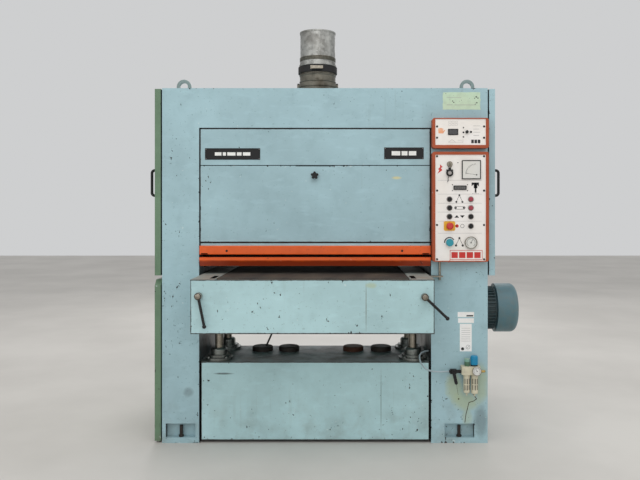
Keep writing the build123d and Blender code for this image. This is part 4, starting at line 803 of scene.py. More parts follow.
def belt_sign(x, z, size):
    """A sanding belt seen from the end: two slanting runs over a small and a large roller."""
    half, tall = size * 0.42, size * 0.55
    return [
        stroke((x, z + tall), (x - half, z - tall * 0.6), size * 0.05),
        stroke((x, z + tall), (x + half, z - tall * 0.6), size * 0.05),
        disc(x, z + tall, size * 0.13), disc(x - half, z - tall * 0.7, size * 0.14),
        disc(x + half, z - tall * 0.7, size * 0.14),
    ]


def conveyor_sign(x, z, width):
    """A conveyor: two rollers and the belt round them."""
    height = width * 0.20
    return [
        bar(x - width / 2, x + width / 2, z + height * 0.78, z + height),
        bar(x - width / 2, x + width / 2, z - height, z - height * 0.78),
        *arc_strokes(x - width / 2, z, height * 0.89, 90, 270, height * 0.22),
        *arc_strokes(x + width / 2, z, height * 0.89, -90, 90, height * 0.22),
        disc(x - width / 2, z, height * 0.62), disc(x + width / 2, z, height * 0.62),
    ]


def triangle(x, z, size, up=1):
    """An arrow head that points up or down."""
    return [(x - size, z - up * size * 0.5), (x + size, z - up * size * 0.5), (x, z + up * size * 0.6)]


def caliper_sign(x, z):
    """A vernier caliper: beam, jaws, slide and the row of dots on its scale."""
    return [
        *(disc(x - 15 * MM + 7 * MM * k, z - 31 * MM, 1.3 * MM, 12) for k in range(5)),
        bar(x - 4 * MM, x + 4 * MM, z - 26 * MM, z + 24 * MM),
        bar(x - 20 * MM, x + 17 * MM, z + 14 * MM, z + 25 * MM),
        bar(x - 9 * MM, x + 9 * MM, z - 4 * MM, z + 14 * MM),
        [(x - 20 * MM, z + 14 * MM), (x - 12 * MM, z + 14 * MM), (x - 20 * MM, z + 6 * MM)],
        [(x + 10 * MM, z + 14 * MM), (x + 17 * MM, z + 14 * MM), (x + 17 * MM, z + 4 * MM)],
    ]


knob_spot = on_plate("tension_knob")
black_shapes = [
    *belt_sign(middle_x, row["sander_start_button"], 36 * MM),
    *conveyor_sign(middle_x + 2 * MM, row["feed_start_button"], 40 * MM),
    triangle(middle_x - 13 * MM, row["table_up_button"], 12 * MM),
    triangle(middle_x + 15 * MM, row["table_up_button"], 12 * MM, -1),
    *belt_sign(middle_x, knob_spot.z, 40 * MM),
    *arc_strokes(knob_spot.x, knob_spot.z, 25 * MM, 30, 185, 5 * MM),
    *caliper_sign(0.764, 1.309),
    *arc_strokes(middle_x + 15 * MM, row["reset_button"], 9 * MM, 0, 360, 1.8 * MM, 32),
    disc(0.6745, 1.4345, 2.6 * MM),
]
flat_shapes("plate_black_symbols", black_shapes, plate_face, ink_black)
lightning = in_mm([
    (585, 1426), (597, 1413), (588, 1407), (596, 1397), (570, 1378), (581, 1397), (574, 1402), (584, 1412),
])
mark_x, mark_z = (0.634, 0.799), (0.943, 0.992)
reset_z = row["reset_button"]
red_shapes = [
    lightning,
    disc(middle_x - 12 * MM, reset_z, 8.5 * MM),
    bar(middle_x - 28 * MM, middle_x - 12 * MM, reset_z - 1.8 * MM, reset_z + 1.8 * MM),
    *frame_lines(*mark_x, *mark_z, 2.4 * MM),
    stroke((mark_x[0] + 1 * MM, mark_z[0]), (mark_x[0] - 6 * MM, mark_z[0] - 15 * MM), 2.4 * MM),
]
for place in range(4):
    x = mark_x[0] + (8 + 38.5 * place) * MM
    red_shapes.append(bar(x, x + 32 * MM, mark_z[0] + 9 * MM, mark_z[1] - 10 * MM))
flat_shapes("plate_red_symbols", red_shapes, plate_face, ink_red)
print("symbols", len(black_shapes) + len(red_shapes))

# %% [markdown]
# ## The small upper plate
# The thickness setter has a dark window, a knob and a faint keypad drawing. Thin grey lines stand
# for its captions, and a pale hand shape warns of the belt. Faint print is thin print here, because
# half-transparent ink would make the exported model heavier for no gain.

# %% Upper plate print
keypad = []
for column in range(3):
    for line in range(2):
        x, z = 0.628 + column * 0.016, 1.622 + line * 0.013
        keypad += frame_lines(x, x + 0.012, z, z + 0.010, 0.0007)
for line in range(4):
    z = 1.572 + line * 0.016
    keypad.append(bar(0.752, 0.782 + 0.006 * (line % 2), z, z + 0.0015))
KEYPAD_LINES = [
    ((0.627, 1.538), (0.645, 1.552)), ((0.645, 1.552), (0.662, 1.538)),
    ((0.662, 1.538), (0.700, 1.538)), ((0.700, 1.538), (0.700, 1.556)),
    ((0.627, 1.538), (0.662, 1.538)), ((0.674, 1.548), (0.694, 1.548)),
]
keypad += [stroke(a, b, 0.001) for a, b in KEYPAD_LINES]
flat_shapes("upper_plate_drawing", keypad, plate_face, ink_grey)
hand = [bar(0.576 + 0.0065 * k, 0.581 + 0.0065 * k, 1.597, 1.611 - 0.002 * abs(k - 1.5)) for k in range(4)]
hand += [bar(0.576, 0.601, 1.583, 1.597), stroke((0.601, 1.588), (0.608, 1.600), 0.0045)]
flat_shapes("upper_plate_hand", hand, plate_face, ink_orange)
caption = [bar(0.742 + 0.0165 * k, 0.755 + 0.0165 * k, 1.533, 1.551) for k in range(3)]
caption += [disc(0.7025, z, radius * MM, 14) for z, radius in ((1.612, 3.6), (1.588, 4.8), (1.565, 4.0))]
flat_shapes("upper_plate_caption", caption, plate_face, ink_black)
SETTER_LAMP = in_mm([(0, 4), (3.5, 3.4), (5.5, 1), (5.5, 0)])
turned("setter_lamp", SETTER_LAMP, [(0.7405, plate_face, 1.590)], "-y", black_plastic, sides=24)
print("upper plate", len(keypad), "lines")

# %% [markdown]
# ## Meters
# The ammeter, the pressure gauge, the height counter and the display are black cases. The ammeter
# and the gauge each get a face set into the case, a scale and a hand; the counter gets a window with
# digits, and the display a dark window. A scale is arcs and ticks worked out from its centre, and
# carries no words.

# %% Meters
AMMETER = Vector((0.742, 0, 1.399))
GAUGE = Vector((0.740, 0, 1.030))
ammeter_face = plate_face - 5.5 * MM
ammeter_window = window(AMMETER.x, AMMETER.z, 43.5 * MM, 43.5 * MM)
flat_shapes("ammeter_face", [ammeter_window], ammeter_face, dial_white)
scale_x, scale_z = AMMETER.x + 26 * MM, AMMETER.z - 26 * MM
scale = arc_strokes(scale_x, scale_z, 56 * MM, 95, 175, 0.9 * MM, 30)
needle_hub = Vector((scale_x, scale_z))


def pointing(degrees):
    """A unit direction on the face of a dial."""
    return Vector((math.cos(math.radians(degrees)), math.sin(math.radians(degrees))))


for tick in range(11):
    way = pointing(95 + 8 * tick)
    scale.append(stroke(needle_hub + way * 50 * MM, needle_hub + way * 56 * MM, 0.9 * MM))
scale.append(stroke(needle_hub, needle_hub + pointing(172) * 54 * MM, 1.1 * MM))
scale.append(disc(scale_x, scale_z, 3.5 * MM))
flat_shapes("ammeter_scale", scale, ammeter_face - 0.4 * MM, ink_black)
GAUGE_RING = in_mm([(28.0, 0), (31.6, 0), (31.6, 1.6), (29.6, 2.2), (28.0, 1.4), (28.0, 0)])
turned("gauge_ring", GAUGE_RING, [(GAUGE.x, plate_face - 7.5 * MM, GAUGE.z)], "-y", turned_steel)
flat_shapes("gauge_face", [disc(GAUGE.x, GAUGE.z, 27.4 * MM, 48)], plate_face - 6.1 * MM, dial_white)


def dial_marks(x, z, radius, hand_angle):
    """A round dial: a scale over three quarters of a turn, ticks and a hand."""
    marks = arc_strokes(x, z, radius * 0.78, -45, 225, radius * 0.035, 36)
    spot = Vector((x, z))
    for tick in range(13):
        way = pointing(-45 + 22.5 * tick)
        marks.append(stroke(spot + way * radius * 0.66, spot + way * radius * 0.80, radius * 0.05))
    way = pointing(hand_angle)
    marks.append(stroke(spot - way * radius * 0.15, spot + way * radius * 0.62, radius * 0.06))
    marks.append(disc(x, z, radius * 0.12))
    return marks


flat_shapes("gauge_scale", dial_marks(GAUGE.x, GAUGE.z, 27.4 * MM, 62), plate_face - 6.5 * MM, ink_black)
READOUT, DISPLAY = (0.685, 1.308), (0.650, 1.590)
readout_window = window(*READOUT, 28 * MM, 6.5 * MM)
flat_shapes("readout_window", [readout_window], plate_face - 3.6 * MM, window_grey)
digits = []
for place in range(4):
    x = READOUT[0] - 19 * MM + place * 11 * MM
    digits += frame_lines(x, x + 6 * MM, READOUT[1] - 4.5 * MM, READOUT[1] + 4.5 * MM, 1.1 * MM)
flat_shapes("readout_digits", digits, plate_face - 4.0 * MM, ink_black)
display_window = window(*DISPLAY, 22 * MM, 11 * MM)
flat_shapes("display_window", [display_window], plate_face - 1.1 * MM, display_black)
corner_spots = []
for a in (-1, 1):
    for b in (-1, 1):
        corner_spots.append((READOUT[0] + a * 38 * MM, plate_face, READOUT[1] + b * 15 * MM))
SMALL_SCREW = in_mm([(0, 1.6), (2.2, 1.2), (2.8, 0)])
turned("readout_screws", SMALL_SCREW, corner_spots, "-y", black_iron, sides=16)
print("ammeter scale", len(scale), "strokes")

# %% [markdown]
# ## Key, ring and fob
# The key stays in its switch, with a split ring and a black fob that hangs under it. Ring and fob ride
# on the machine and not on the key, so they hang still while the key turns. The ring leans beside
# the bow, and the turned key still cuts a little into it.

# %% Key and fob
key_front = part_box("key_switch")[0].y
key_spot = on_plate("key_switch")
SWITCH_RING = in_mm([(9.3, 0), (15, 0), (15, 2.5), (12.5, 5), (9.3, 5), (9.3, 0)])
turned("key_switch_ring", SWITCH_RING, [key_spot], "-y", turned_steel)


def bent_wire(name, points, radius, material, body="root", closed=False):
    """A round wire or bar along a smooth line, as a mesh."""
    data = bpy.data.curves.new(name, "CURVE")
    data.dimensions, data.bevel_depth, data.bevel_resolution = "3D", radius, 4
    data.resolution_u, data.use_fill_caps = 6, not closed
    spline = data.splines.new("NURBS")
    spline.points.add(len(points) - 1)
    for spline_point, place in zip(spline.points, points):
        spline_point.co = (*place, 1.0)
    spline.order_u = 3
    spline.use_endpoint_u = not closed
    spline.use_cyclic_u = closed
    holder = bpy.data.objects.new(name + "_line", data)
    mesh = bpy.data.meshes.new_from_object(holder)
    bpy.data.objects.remove(holder)
    mesh.name = name
    mesh.shade_smooth()
    return show(name, mesh, material, body)


bow_y = key_front + 2 * MM
ring_radius, ring_steps = 11 * MM, 14
ring_points = []
for step in range(ring_steps):
    angle = 2 * math.pi * step / ring_steps
    sideways, upward = ring_radius * math.cos(angle), ring_radius * math.sin(angle)
    ring_points.append((key_spot.x + sideways * 0.55, bow_y - sideways * 0.35, key_spot.z - 8 * MM + upward))
bent_wire("key_ring", ring_points, 0.9 * MM, turned_steel, closed=True)
fob_spot = Vector((key_spot.x - 1 * MM, plate_face - 7 * MM, key_spot.z - 45 * MM))


def by_fob(x, y, z):
    """A point given in millimetres from the fob's middle."""
    return fob_spot + Vector((x, y, z)) * MM


FOB = in_mm([(0, 5), (13, 5), (17, 4), (18, 2), (17, -2), (0, -2)])
turned("key_fob", FOB, [fob_spot], "-y", black_plastic)
blocks("key_fob_shoulders", [(by_fob(-17, -3, -2), by_fob(17, 2, 18))], black_plastic)
turned("key_fob_disc", in_mm([(0, 6.2), (8, 6.2), (9.5, 5)]), [fob_spot], "-y", satin_steel)
blocks("key_fob_loop", [(by_fob(-7, -3, 16), by_fob(7, 1, 28))], black_plastic)
tail = [by_fob(-6, 0, -18), by_fob(-9, 0, -28), by_fob(-6, 0, -36), by_fob(-11, 0, -46)]
bent_wire("key_chain", tail, 1.6 * MM, black_iron)
print("key hangs at", [round(c, 3) for c in key_spot])

# %% [markdown]
# ## Labels and an oil run on the right column
# A pale green inspection label at the top and white paper labels lower down are half worn away.
# Paper tears in a ragged line, so the green label's outline is wavy, made by a formula and not by
# chance, and its print is left blank. Under the air valve old oil has run down the paint.

# %% Labels
column_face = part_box("right_column")[0].y
torn = []
for step in range(40):
    t = 2 * math.pi * step / 40
    wobble = 1 + 0.012 * math.sin(7 * t + 1.0) + 0.010 * math.sin(13 * t)
    square = max(abs(math.cos(t)), abs(math.sin(t)))
    reach = wobble / square
    torn.append((0.701 + 0.096 * reach * math.cos(t), 1.7545 + 0.0445 * reach * math.sin(t)))
flat_shapes("green_label", [torn], column_face, green_label, thickness=0.0003)
label_marks = [
    bar(0.625, 0.655, 1.733, 1.7355), bar(0.665, 0.775, 1.733, 1.735), bar(0.625, 0.700, 1.771, 1.7725),
]
for x, z in ((0.640, 1.760), (0.690, 1.752), (0.742, 1.768), (0.771, 1.745), (0.660, 1.781)):
    label_marks.append(disc(x, z, 1.8 * MM, 10))
specks = (
    (0.776, 1.775, 4.2), (0.785, 1.769, 3.4), (0.768, 1.768, 2.6), (0.779, 1.745, 3.6), (0.771, 1.738, 2.4),
    (0.655, 1.754, 3.0), (0.661, 1.747, 3.2), (0.620, 1.792, 2.0), (0.700, 1.758, 1.6),
)
dark_specks = [disc(x, z, radius * MM, 7) for x, z, radius in specks]
flat_shapes("green_label_specks", dark_specks, column_face - 0.0003, ink_black, thickness=0.0002)
flat_shapes("green_label_marks", label_marks, column_face - 0.0003, ink_grey, thickness=0.0002)
papers = [bar(0.681, 0.765, 0.646, 0.672), bar(0.683, 0.764, 0.616, 0.640), bar(0.692, 0.753, 0.470, 0.611)]
flat_shapes("paper_labels", papers, column_face, paper_label, thickness=0.0003)
paper_print = [bar(0.700, 0.746, 0.588 - 0.011 * k, 0.5894 - 0.011 * k) for k in range(7)]
paper_print += arc_strokes(0.734, 0.492, 0.010, 0, 360, 0.002, 28)
paper_print.append(stroke((0.727, 0.485), (0.741, 0.499), 0.002))
flat_shapes("paper_label_print", paper_print, column_face - 0.0003, ink_grey, thickness=0.0002)
paper_blacks = [bar(0.726, 0.760, 0.649, 0.656), disc(0.706, 0.483, 8 * MM)]
flat_shapes("paper_label_blacks", paper_blacks, column_face - 0.0003, ink_black, thickness=0.0002)
oil_run = [(0.760, 0.252), (0.778, 0.226), (0.760, 0.214), (0.739, 0.208), (0.724, 0.150), (0.718, 0.106)]
runs = [stroke(a, b, 3.6 * MM) for a, b in zip(oil_run, oil_run[1:])]
runs += [disc(x, z, 2.0 * MM, 12) for x, z in oil_run]
runs += [stroke((0.674, 0.306), (0.684, 0.247), 1.3 * MM), disc(0.686, 0.226, 4.0 * MM, 16)]
for order, outline in enumerate(runs):
    layer = column_face + 0.02 * MM * (order % 3)
    flat_shapes(f"oil_run_{order}", [outline], layer, oil_brown, thickness=0.0002)
print("labels", 1 + len(papers), "oil marks", len(runs))

# %% [markdown]
# ## The air unit
# The filter and regulator show dark sight windows in their bowls, a green plug, a gauge and a brass
# nipple. The CAD body stays, and these thin pieces sit on it: a sleeve over the plug, strips on the
# bowls and a dial in the gauge.

# %% Air unit trim
air_low, air_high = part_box("filter_regulator")
knob_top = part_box("regulator_knob")[1].z
air_y = centre("regulator_knob").y
regulator_x = centre("regulator_knob").x
filter_x = regulator_x - 35.5 * MM
bowls = ((air_low.x + 28.5 * MM, 16.5 * MM), (air_low.x + 68.5 * MM, 17.5 * MM))
body_top = air_high.z - 38 * MM
PLUG = in_mm([(13.9, 0.2), (12.8, 1), (13.9, 3), (13.9, 22), (13.1, 22.5)])
PLUG_TOP = in_mm([(13.1, 22), (13.9, 23), (13.9, 36), (11.0, 38.4), (0, 38.4)])
plug_foot = (filter_x, air_y, body_top)
turned("green_plug", PLUG, [plug_foot], "z", green_plastic)
turned("green_plug_top", PLUG_TOP, [plug_foot], "z", pale_green)
for order, (x, radius) in enumerate(bowls):
    strips = []
    for offset in (-0.60, 0.0, 0.60):
        face = air_y - radius * math.sqrt(1 - offset**2)
        middle = x + offset * radius
        for low, high in ((0.284, 0.309), (0.315, 0.342)):
            near_corner = (middle - 2.2 * MM, face - 0.8 * MM, low)
            strips.append((near_corner, (middle + 2.2 * MM, face + 3 * MM, high)))
    blocks(f"bowl_windows_{order}", strips, black_plastic, bevel=0.8 * MM)
BAND = in_mm([(17.0, 0), (19.0, 0), (19.0, 7), (17.0, 7), (17.0, 0)])
turned("bowl_rings", BAND, [(x, air_y, 0.3555) for x, radius in bowls], "z", beige_casting)
gauge_middle = Vector((regulator_x + 6.5 * MM, air_low.y, body_top - 18 * MM))
RIM = in_mm([(20.5, -1), (23.2, -1), (23.2, 1.2), (21.5, 2.2), (20.5, 1.0), (20.5, -1)])
turned("air_gauge_rim", RIM, [gauge_middle], "-y", turned_steel)
dial_x, dial_y, dial_z = gauge_middle
flat_shapes("air_gauge_face", [disc(dial_x, dial_z, 20.3 * MM, 40)], dial_y, dial_white)
air_dial = dial_marks(dial_x, dial_z, 20.3 * MM, 118)
flat_shapes("air_gauge_scale", air_dial, dial_y - 0.4 * MM, ink_black)
NIPPLE = in_mm([
    (5.5, 0), (9.4, 0), (9.4, 6.2), (6.4, 6.6), (5.8, 8), (6.6, 10), (5.7, 14), (6.5, 16), (5.6, 20),
    (6.3, 22), (5.5, 27),
])
nipple_z = body_top - 28 * MM
turned("inlet_nipple", NIPPLE, [(air_low.x + 95 * MM, air_y, nipple_z)], "x", brass)
NUT = in_mm([(16.0, 0), (18.2, 0.6), (18.2, 5.6), (17.0, 6.6), (16.0, 6.6), (16.0, 0)])
knob_foot = (regulator_x, air_y, body_top)
turned("regulator_nut", NUT, [knob_foot], "z", black_plastic)
ribs = []
for step in range(20):
    angle = 2 * math.pi * step / 20
    x, y = regulator_x + 17.5 * MM * math.cos(angle), air_y + 17.5 * MM * math.sin(angle)
    rib_foot = (x - 0.9 * MM, y - 0.9 * MM, body_top + 9 * MM)
    ribs.append((rib_foot, (x + 0.9 * MM, y + 0.9 * MM, knob_top - 7 * MM)))
blocks("regulator_knob_ribs", ribs, blue_plastic, "regulator_knob", 0.0004)
print("air unit top", round(air_high.z, 3))

# %% [markdown]
# ## The extraction pipe
# The pipe is rolled from sheet with a folded seam down its side, taped where it meets the flange,
# and held by an over-centre clamp. The seam faces the operator a little to the right, and beads
# pressed round the collar stiffen it.

# %% Pipe trim
pipe_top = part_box("duct_pipe")[1].z
duct = Vector((centre("extraction_collar").x, centre("extraction_collar").y, 0))
pipe_radius = 98 * MM
seam_angle = math.radians(-78)
seam_out = Vector((math.cos(seam_angle), math.sin(seam_angle), 0))
seam_across = Vector((-seam_out.y, seam_out.x, 0))
mesh, work = bpy.data.meshes.new("pipe_seam"), bmesh.new()
for z in (2.052, 2.178):
    for side, lift in ((-4, -0.4), (-3, 1.3), (3, 1.3), (4, -0.4)):
        on_pipe = duct + seam_out * (pipe_radius + lift * MM)
        work.verts.new(on_pipe + seam_across * side * MM + Vector((0, 0, z)))
work.verts.ensure_lookup_table()
for k in range(4):
    work.faces.new([work.verts[i] for i in (k, (k + 1) % 4, (k + 1) % 4 + 4, k + 4)])
work.faces.new([work.verts[i] for i in (3, 2, 1, 0)])
work.faces.new([work.verts[i] for i in (4, 5, 6, 7)])
bmesh.ops.recalc_face_normals(work, faces=work.faces)
work.to_mesh(mesh)
work.free()
show("pipe_seam", mesh, galvanised, "root")


def hoop(name, radius, z0, z1, bulge, material, waves=0):
    """A band round the pipe, wound or pressed, with as many ridges as waves."""
    rows = max(6, waves * 6)
    profile = [(radius, 0)]
    for step in range(rows + 1):
        t = step / rows
        if waves:
            lift = 0.35 + 0.65 * abs(math.sin(math.pi * waves * t))
        else:
            lift = math.sin(math.pi * t) ** 0.5
        profile.append((radius + bulge * lift, (z1 - z0) * t))
    profile += [(radius, z1 - z0), (radius, 0)]
    return turned(name, profile, [duct + Vector((0, 0, z0))], "z", material, sides=72)


hoop("pipe_tape", pipe_radius - 0.2 * MM, 2.024, 2.046, 3.2 * MM, collar_zinc, 3)
hoop("pipe_lower_bead", 99.8 * MM, 1.994, 2.000, 4.5 * MM, galvanised)
hoop("collar_bead_low", 99.8 * MM, 1.905, 1.915, 3.0 * MM, collar_zinc)
hoop("collar_bead_high", 99.8 * MM, 1.940, 1.950, 3.0 * MM, collar_zinc)
clamp_low, clamp_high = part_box("clamp_ring")
latch_foot = Vector((duct.x, clamp_low.y, clamp_low.z))
latch_head = Vector((duct.x, clamp_low.y, clamp_high.z))
blocks("clamp_latch", [
    (latch_foot + Vector((-30, -6, 9)) * MM, latch_head + Vector((34, 2, -9)) * MM),
    (latch_foot + Vector((-36, -2, 7)) * MM, latch_head + Vector((-24, 12, -7)) * MM),
], turned_steel)
clips = []
for side in (-1, 1):
    x = duct.x + side * 108 * MM
    clips.append(((x - 6 * MM, duct.y - 10 * MM, 1.884), (x + 6 * MM, duct.y + 10 * MM, 1.904)))
blocks("collar_clips", clips, black_iron)
print("pipe top", round(pipe_top, 3))

# %% [markdown]
# ## Bolts
# Hexagon bolts hold the jack flanges, the motor flange and the collar. A hexagon is a turned piece
# with six sides, so the same lathe word makes them, with a washer of many sides below.

# %% Bolts
def hex_bolts(name, places, axis, size, material, body="root"):
    """Hexagon heads of a given size across corners, each on a washer."""
    head = [(0, 0.42), (0.42, 0.42), (0.5, 0.34), (0.5, 0.08)]
    head = [(radius * size, height * size) for radius, height in head]
    turned(name, head, places, axis, material, body, sides=6)
    washer = [(0, size * 0.10), (size * 0.62, size * 0.10), (size * 0.66, 0)]
    turned(name + "_washers", washer, places, axis, material, body, sides=28)


jack_low, jack_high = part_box("jack_housings")
flange = 73.5 * MM
jack_x = (jack_low.x + flange, jack_high.x - flange)
jack_y = (jack_low.y + flange, jack_high.y - flange)
ring_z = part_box("base_beam")[1].z + 13 * MM


def round_spots(a, b, radius, angles):
    """Pairs of places on a circle round (a, b), at angles in degrees."""
    turns = [math.radians(angle) for angle in angles]
    return [(a + radius * math.cos(turn), b + radius * math.sin(turn)) for turn in turns]


DIAGONALS = (45, 135, 225, 315)
jack_bolts = []
for x in jack_x:
    for y in jack_y:
        jack_bolts += [(*spot, ring_z) for spot in round_spots(x, y, 64.5 * MM, DIAGONALS)]
hex_bolts("jack_bolts", jack_bolts, "z", 15 * MM, jack_iron)
motor = centre("fan_cowl")
flange_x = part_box("motor_housing")[0].x + 15 * MM
motor_bolts = [(flange_x, *spot) for spot in round_spots(motor.y, motor.z, 137 * MM, DIAGONALS)]
hex_bolts("motor_bolts", motor_bolts, "x", 18 * MM, black_iron)
flange_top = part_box("head_hood")[1].z + 4 * MM
collar_bolts = [(*spot, flange_top) for spot in round_spots(duct.x, duct.y, 110 * MM, range(15, 360, 60))]
hex_bolts("collar_bolts", collar_bolts, "z", 11 * MM, jack_iron)
bar_low, bar_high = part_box("guard_bar")
guard_studs = [(x, bar_low.y + 1.5 * MM, 0.986) for x in (-0.502, 0.395)]
SOCKET = in_mm([(0, 0.2), (2.6, 0.2), (2.6, 1.2), (5.2, 1.2), (5.8, 0.4), (5.8, -1)])
turned("guard_bar_screws", SOCKET, guard_studs, "-y", black_plastic, sides=20)
# Two slots in the guard bar, drawn as flat black marks of painted shade.
slot_marks = [bar(x, x + 34 * MM, 0.9685, 0.9745) for x in (bar_low.x + 8 * MM, bar_high.x - 42 * MM)]
flat_shapes("guard_bar_slot_shade", slot_marks, bar_low.y, painted_shade_black)
print("bolts", len(jack_bolts) + len(motor_bolts) + len(collar_bolts))

# %% [markdown]
# ## Lever grips and table details
# The clamp levers carry turned steel hubs, and black blocks of painted shade stand for the dark slots
# in the table's side plates. The screws that lift the table have a trapezoid thread. A thread cut into
# the whole screw is heavy, so each screw gets a low helix ridge only on the stretch that shows between
# table and jack. The ridge stands proud of the screw, so it runs into the jack housings when the table
# is at its lowest.

# %% Levers, slots and threads
table_low, table_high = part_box("table_bed")
LEVER_CAP = in_mm([(0, 3.4), (6, 3.2), (11, 1.6), (13, 0), (16.9, -3), (16.9, -28), (16.0, -28)])
for side in ("left", "right"):
    lever_low, lever_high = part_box(side + "_clamp_lever")
    hub = (lever_low.x + 16.5 * MM, lever_low.y, lever_high.z - 16.5 * MM)
    turned(side + "_lever_cap", LEVER_CAP, [hub], "-y", turned_steel, side + "_clamp_lever")
slot_boxes = []
for x in (table_low.x + 80 * MM, table_high.x - 105 * MM):
    slot_low = (x, table_low.y + 55 * MM, table_high.z - 2 * MM)
    slot_boxes.append((slot_low, (x + 25 * MM, table_low.y + 190 * MM, table_high.z + 0.3 * MM)))
# Black blocks of painted shade for the slots in the table's side plates.
blocks("table_side_slot_shade", slot_boxes, painted_shade_black, "table", 0.0002)
screw_radius = 21 * MM


def thread(name, x, y, z0, z1, pitch, radius, body):
    """A helical ridge round a screw, a strip of quads with a flat crest."""
    steps_per_turn = 20
    count = int((z1 - z0) / pitch * steps_per_turn)
    vertices, faces = [], []
    for step in range(count + 1):
        angle = 2 * math.pi * step / steps_per_turn
        z = z0 + pitch * step / steps_per_turn
        for reach, rise in ((-0.4 * MM, 0.0), (0.4 * MM, 0.22), (0.4 * MM, 0.50), (-0.4 * MM, 0.72)):
            out = radius + reach
            vertices.append((x + out * math.cos(angle), y + out * math.sin(angle), z + rise * pitch))
    for step in range(count):
        for k in range(4):
            a, b = step * 4 + k, step * 4 + (k + 1) % 4
            faces.append((a, b, b + 4, a + 4))
    faces.append((3, 2, 1, 0))
    faces.append(tuple(count * 4 + k for k in range(4)))
    mesh = bpy.data.meshes.new(name)
    mesh.from_pydata(vertices, [], faces)
    mesh.shade_smooth()
    mesh.set_sharp_from_angle(angle=math.radians(40))
    return show(name, mesh, turned_steel, body)


thread_z = (jack_high.z + 6 * MM, table_low.z - 4 * MM)
for index, (x, y) in enumerate([(x, y) for x in jack_x for y in jack_y]):
    thread(f"screw_thread_{index}", x, y, *thread_z, 9 * MM, screw_radius, "table")
rod_line = in_mm([(-336, -137, 436), (-329, -103, 453), (-322, -70, 470), (-316, -40, 485)])
bent_wire("loose_rod", rod_line, 5 * MM, black_iron)
print("threads on", len(jack_x) * len(jack_y), "screws")

# %% [markdown]
# ## Backs and sides
# The back of such a machine is plain sheet with pressed louvres for the motor's heat and rows of
# sheet screws, and each side door has a turn lock. A real louvre is a shallow hood over a slot. Here
# it is a small closed wedge, which throws a true shadow and leaves the sheet uncut.

# %% Louvres, locks and sheet screws
cover_low, cover_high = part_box("rear_cover")


def louvres(name, x_middles, z_values, y_face, width, material):
    """Louvres on a sheet that faces the back, as closed wedges."""
    vertices, faces = [], []
    for x in x_middles:
        for z in z_values:
            start = len(vertices)
            half, depth, tall = width / 2, 7 * MM, 14 * MM
            for dx in (-half, half):
                lip = (x + dx * 0.94, y_face + depth, z)
                vertices += [(x + dx, y_face, z + tall), lip, (x + dx, y_face, z)]
            faces += [(start, start + 1, start + 4, start + 3), (start, start + 2, start + 1),
                      (start + 3, start + 4, start + 5), (start + 1, start + 2, start + 5, start + 4),
                      (start, start + 3, start + 5, start + 2)]
    mesh = bpy.data.meshes.new(name)
    mesh.from_pydata(vertices, [], faces)
    work = bmesh.new()
    work.from_mesh(mesh)
    bmesh.ops.recalc_face_normals(work, faces=work.faces)
    work.to_mesh(mesh)
    work.free()
    return show(name, mesh, material, "root")


cover_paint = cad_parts["rear_cover"].data.materials[0]
rows = [1.08 + 0.034 * k for k in range(9)]
louvres("rear_louvres", (BAY_MIDDLE - 0.36, BAY_MIDDLE + 0.36), rows, cover_high.y, 0.22, cover_paint)
screw_left, screw_right = cover_low.x + 0.02, cover_high.x - 0.02
rear_screws = []
for k in range(8):
    x = screw_left + k * (screw_right - screw_left) / 7
    rear_screws += [(x, cover_high.y, z) for z in (0.985, 1.795)]
for k in range(5):
    rear_screws += [(x, cover_high.y, 1.12 + 0.14 * k) for x in (screw_left, screw_right)]
turned("rear_cover_screws", PAN_HEAD, rear_screws, "y", black_iron, sides=18)
LOCK = in_mm([(0, 6), (7, 6), (9, 4.5), (9, 2), (14, 2), (15, 0)])
right_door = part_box("drive_door")
left_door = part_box("belt_door")
SIDE_DOORS = (
    ("right", "drive_door", right_door, right_door[1].x, 1),
    ("left", "belt_door", left_door, left_door[0].x, -1),
)
for side, body, door, face, out in SIDE_DOORS:
    lock_spots = [(face, door[0].y + 0.06, z) for z in (0.98, 1.70)]
    turned(body + "_lock", [(r, h * out) for r, h in LOCK], lock_spots, "x", black_iron, body)
for side, body, door, face, out in reversed(SIDE_DOORS):
    pads = []
    for z in (1.270, 1.401):
        x0, x1 = sorted((face, face + out * 4 * MM))
        pads.append(((x0, door[0].y + 0.040, z - 0.016), (x1, door[0].y + 0.072, z + 0.016)))
    blocks(side + "_handle_feet", pads, black_plastic, body, 0.0015)
print("rear screws", len(rear_screws))

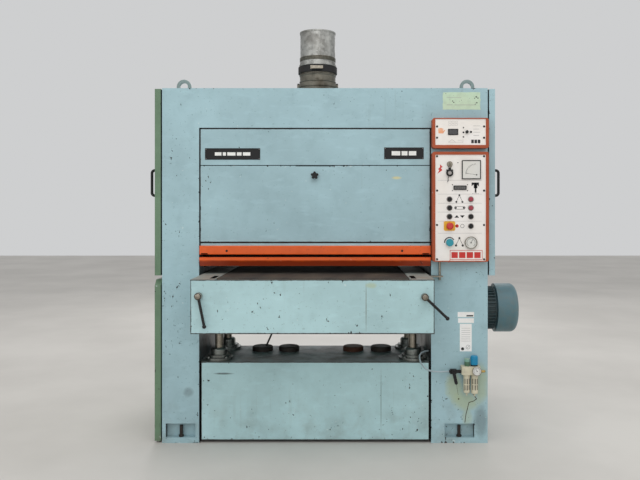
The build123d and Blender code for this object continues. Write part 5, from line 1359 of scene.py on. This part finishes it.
# %% [markdown]
# ## Floor and light
# A plain pale floor and a pale sky hold the machine without competing with it. Light in a workshop
# comes from high, wide lamps, so wide soft lamps hang above, in front and behind, two weaker ones
# fill from the sides, and the world adds a little from everywhere.

# %% Floor and light
floor_mesh = bpy.data.meshes.new("floor")
floor_mesh.from_pydata([(-14, -14, 0), (14, -14, 0), (14, 14, 0), (-14, 14, 0)], [], [(0, 1, 2, 3)])
floor = bpy.data.objects.new("floor", floor_mesh)
bpy.context.scene.collection.objects.link(floor)
floor_material, tree, shader, where = new_finish("pale_floor")
cloudy = span(tree, noise(tree, where, 0.9, 5.0), 0.35, 0.65)
tree.links.new(mixed(tree, cloudy, light(192, 188, 182), light(204, 200, 194)), shader.inputs["Base Color"])
shader.inputs["Roughness"].default_value = 0.55
floor.data.materials.append(floor_material)


def soft_lamp(name, place, aim, size, power):
    """A wide soft lamp at a place, aimed at a point."""
    data = bpy.data.lights.new(name, "AREA")
    data.energy, data.size = power, size
    lamp = bpy.data.objects.new(name, data)
    lamp.location = place
    lamp.rotation_euler = (Vector(aim) - Vector(place)).to_track_quat("-Z", "Y").to_euler()
    bpy.context.scene.collection.objects.link(lamp)


soft_lamp("ceiling_lamp", (0.4, -2.6, 5.0), (0, 0, 0.9), 4.5, 82)
soft_lamp("front_lamp", (-0.2, -7.5, 3.0), (0, 0, 1.0), 6.0, 100)
soft_lamp("left_fill", (-4.6, -3.4, 2.6), (0, -0.2, 1.0), 3.0, 30)
soft_lamp("right_fill", (4.6, -1.6, 2.8), (0.6, 0, 1.0), 2.6, 18)
soft_lamp("rear_lamp", (0.0, 4.5, 4.2), (0, 0, 1.1), 4.0, 110)
world = bpy.data.worlds.new("pale_world")
world.use_nodes = True
world.node_tree.nodes["Background"].inputs[0].default_value = light(230, 231, 232)
world.node_tree.nodes["Background"].inputs[1].default_value = 0.78
bpy.context.scene.world = world
bpy.context.scene.view_settings.view_transform = "Standard"
print("lamps placed")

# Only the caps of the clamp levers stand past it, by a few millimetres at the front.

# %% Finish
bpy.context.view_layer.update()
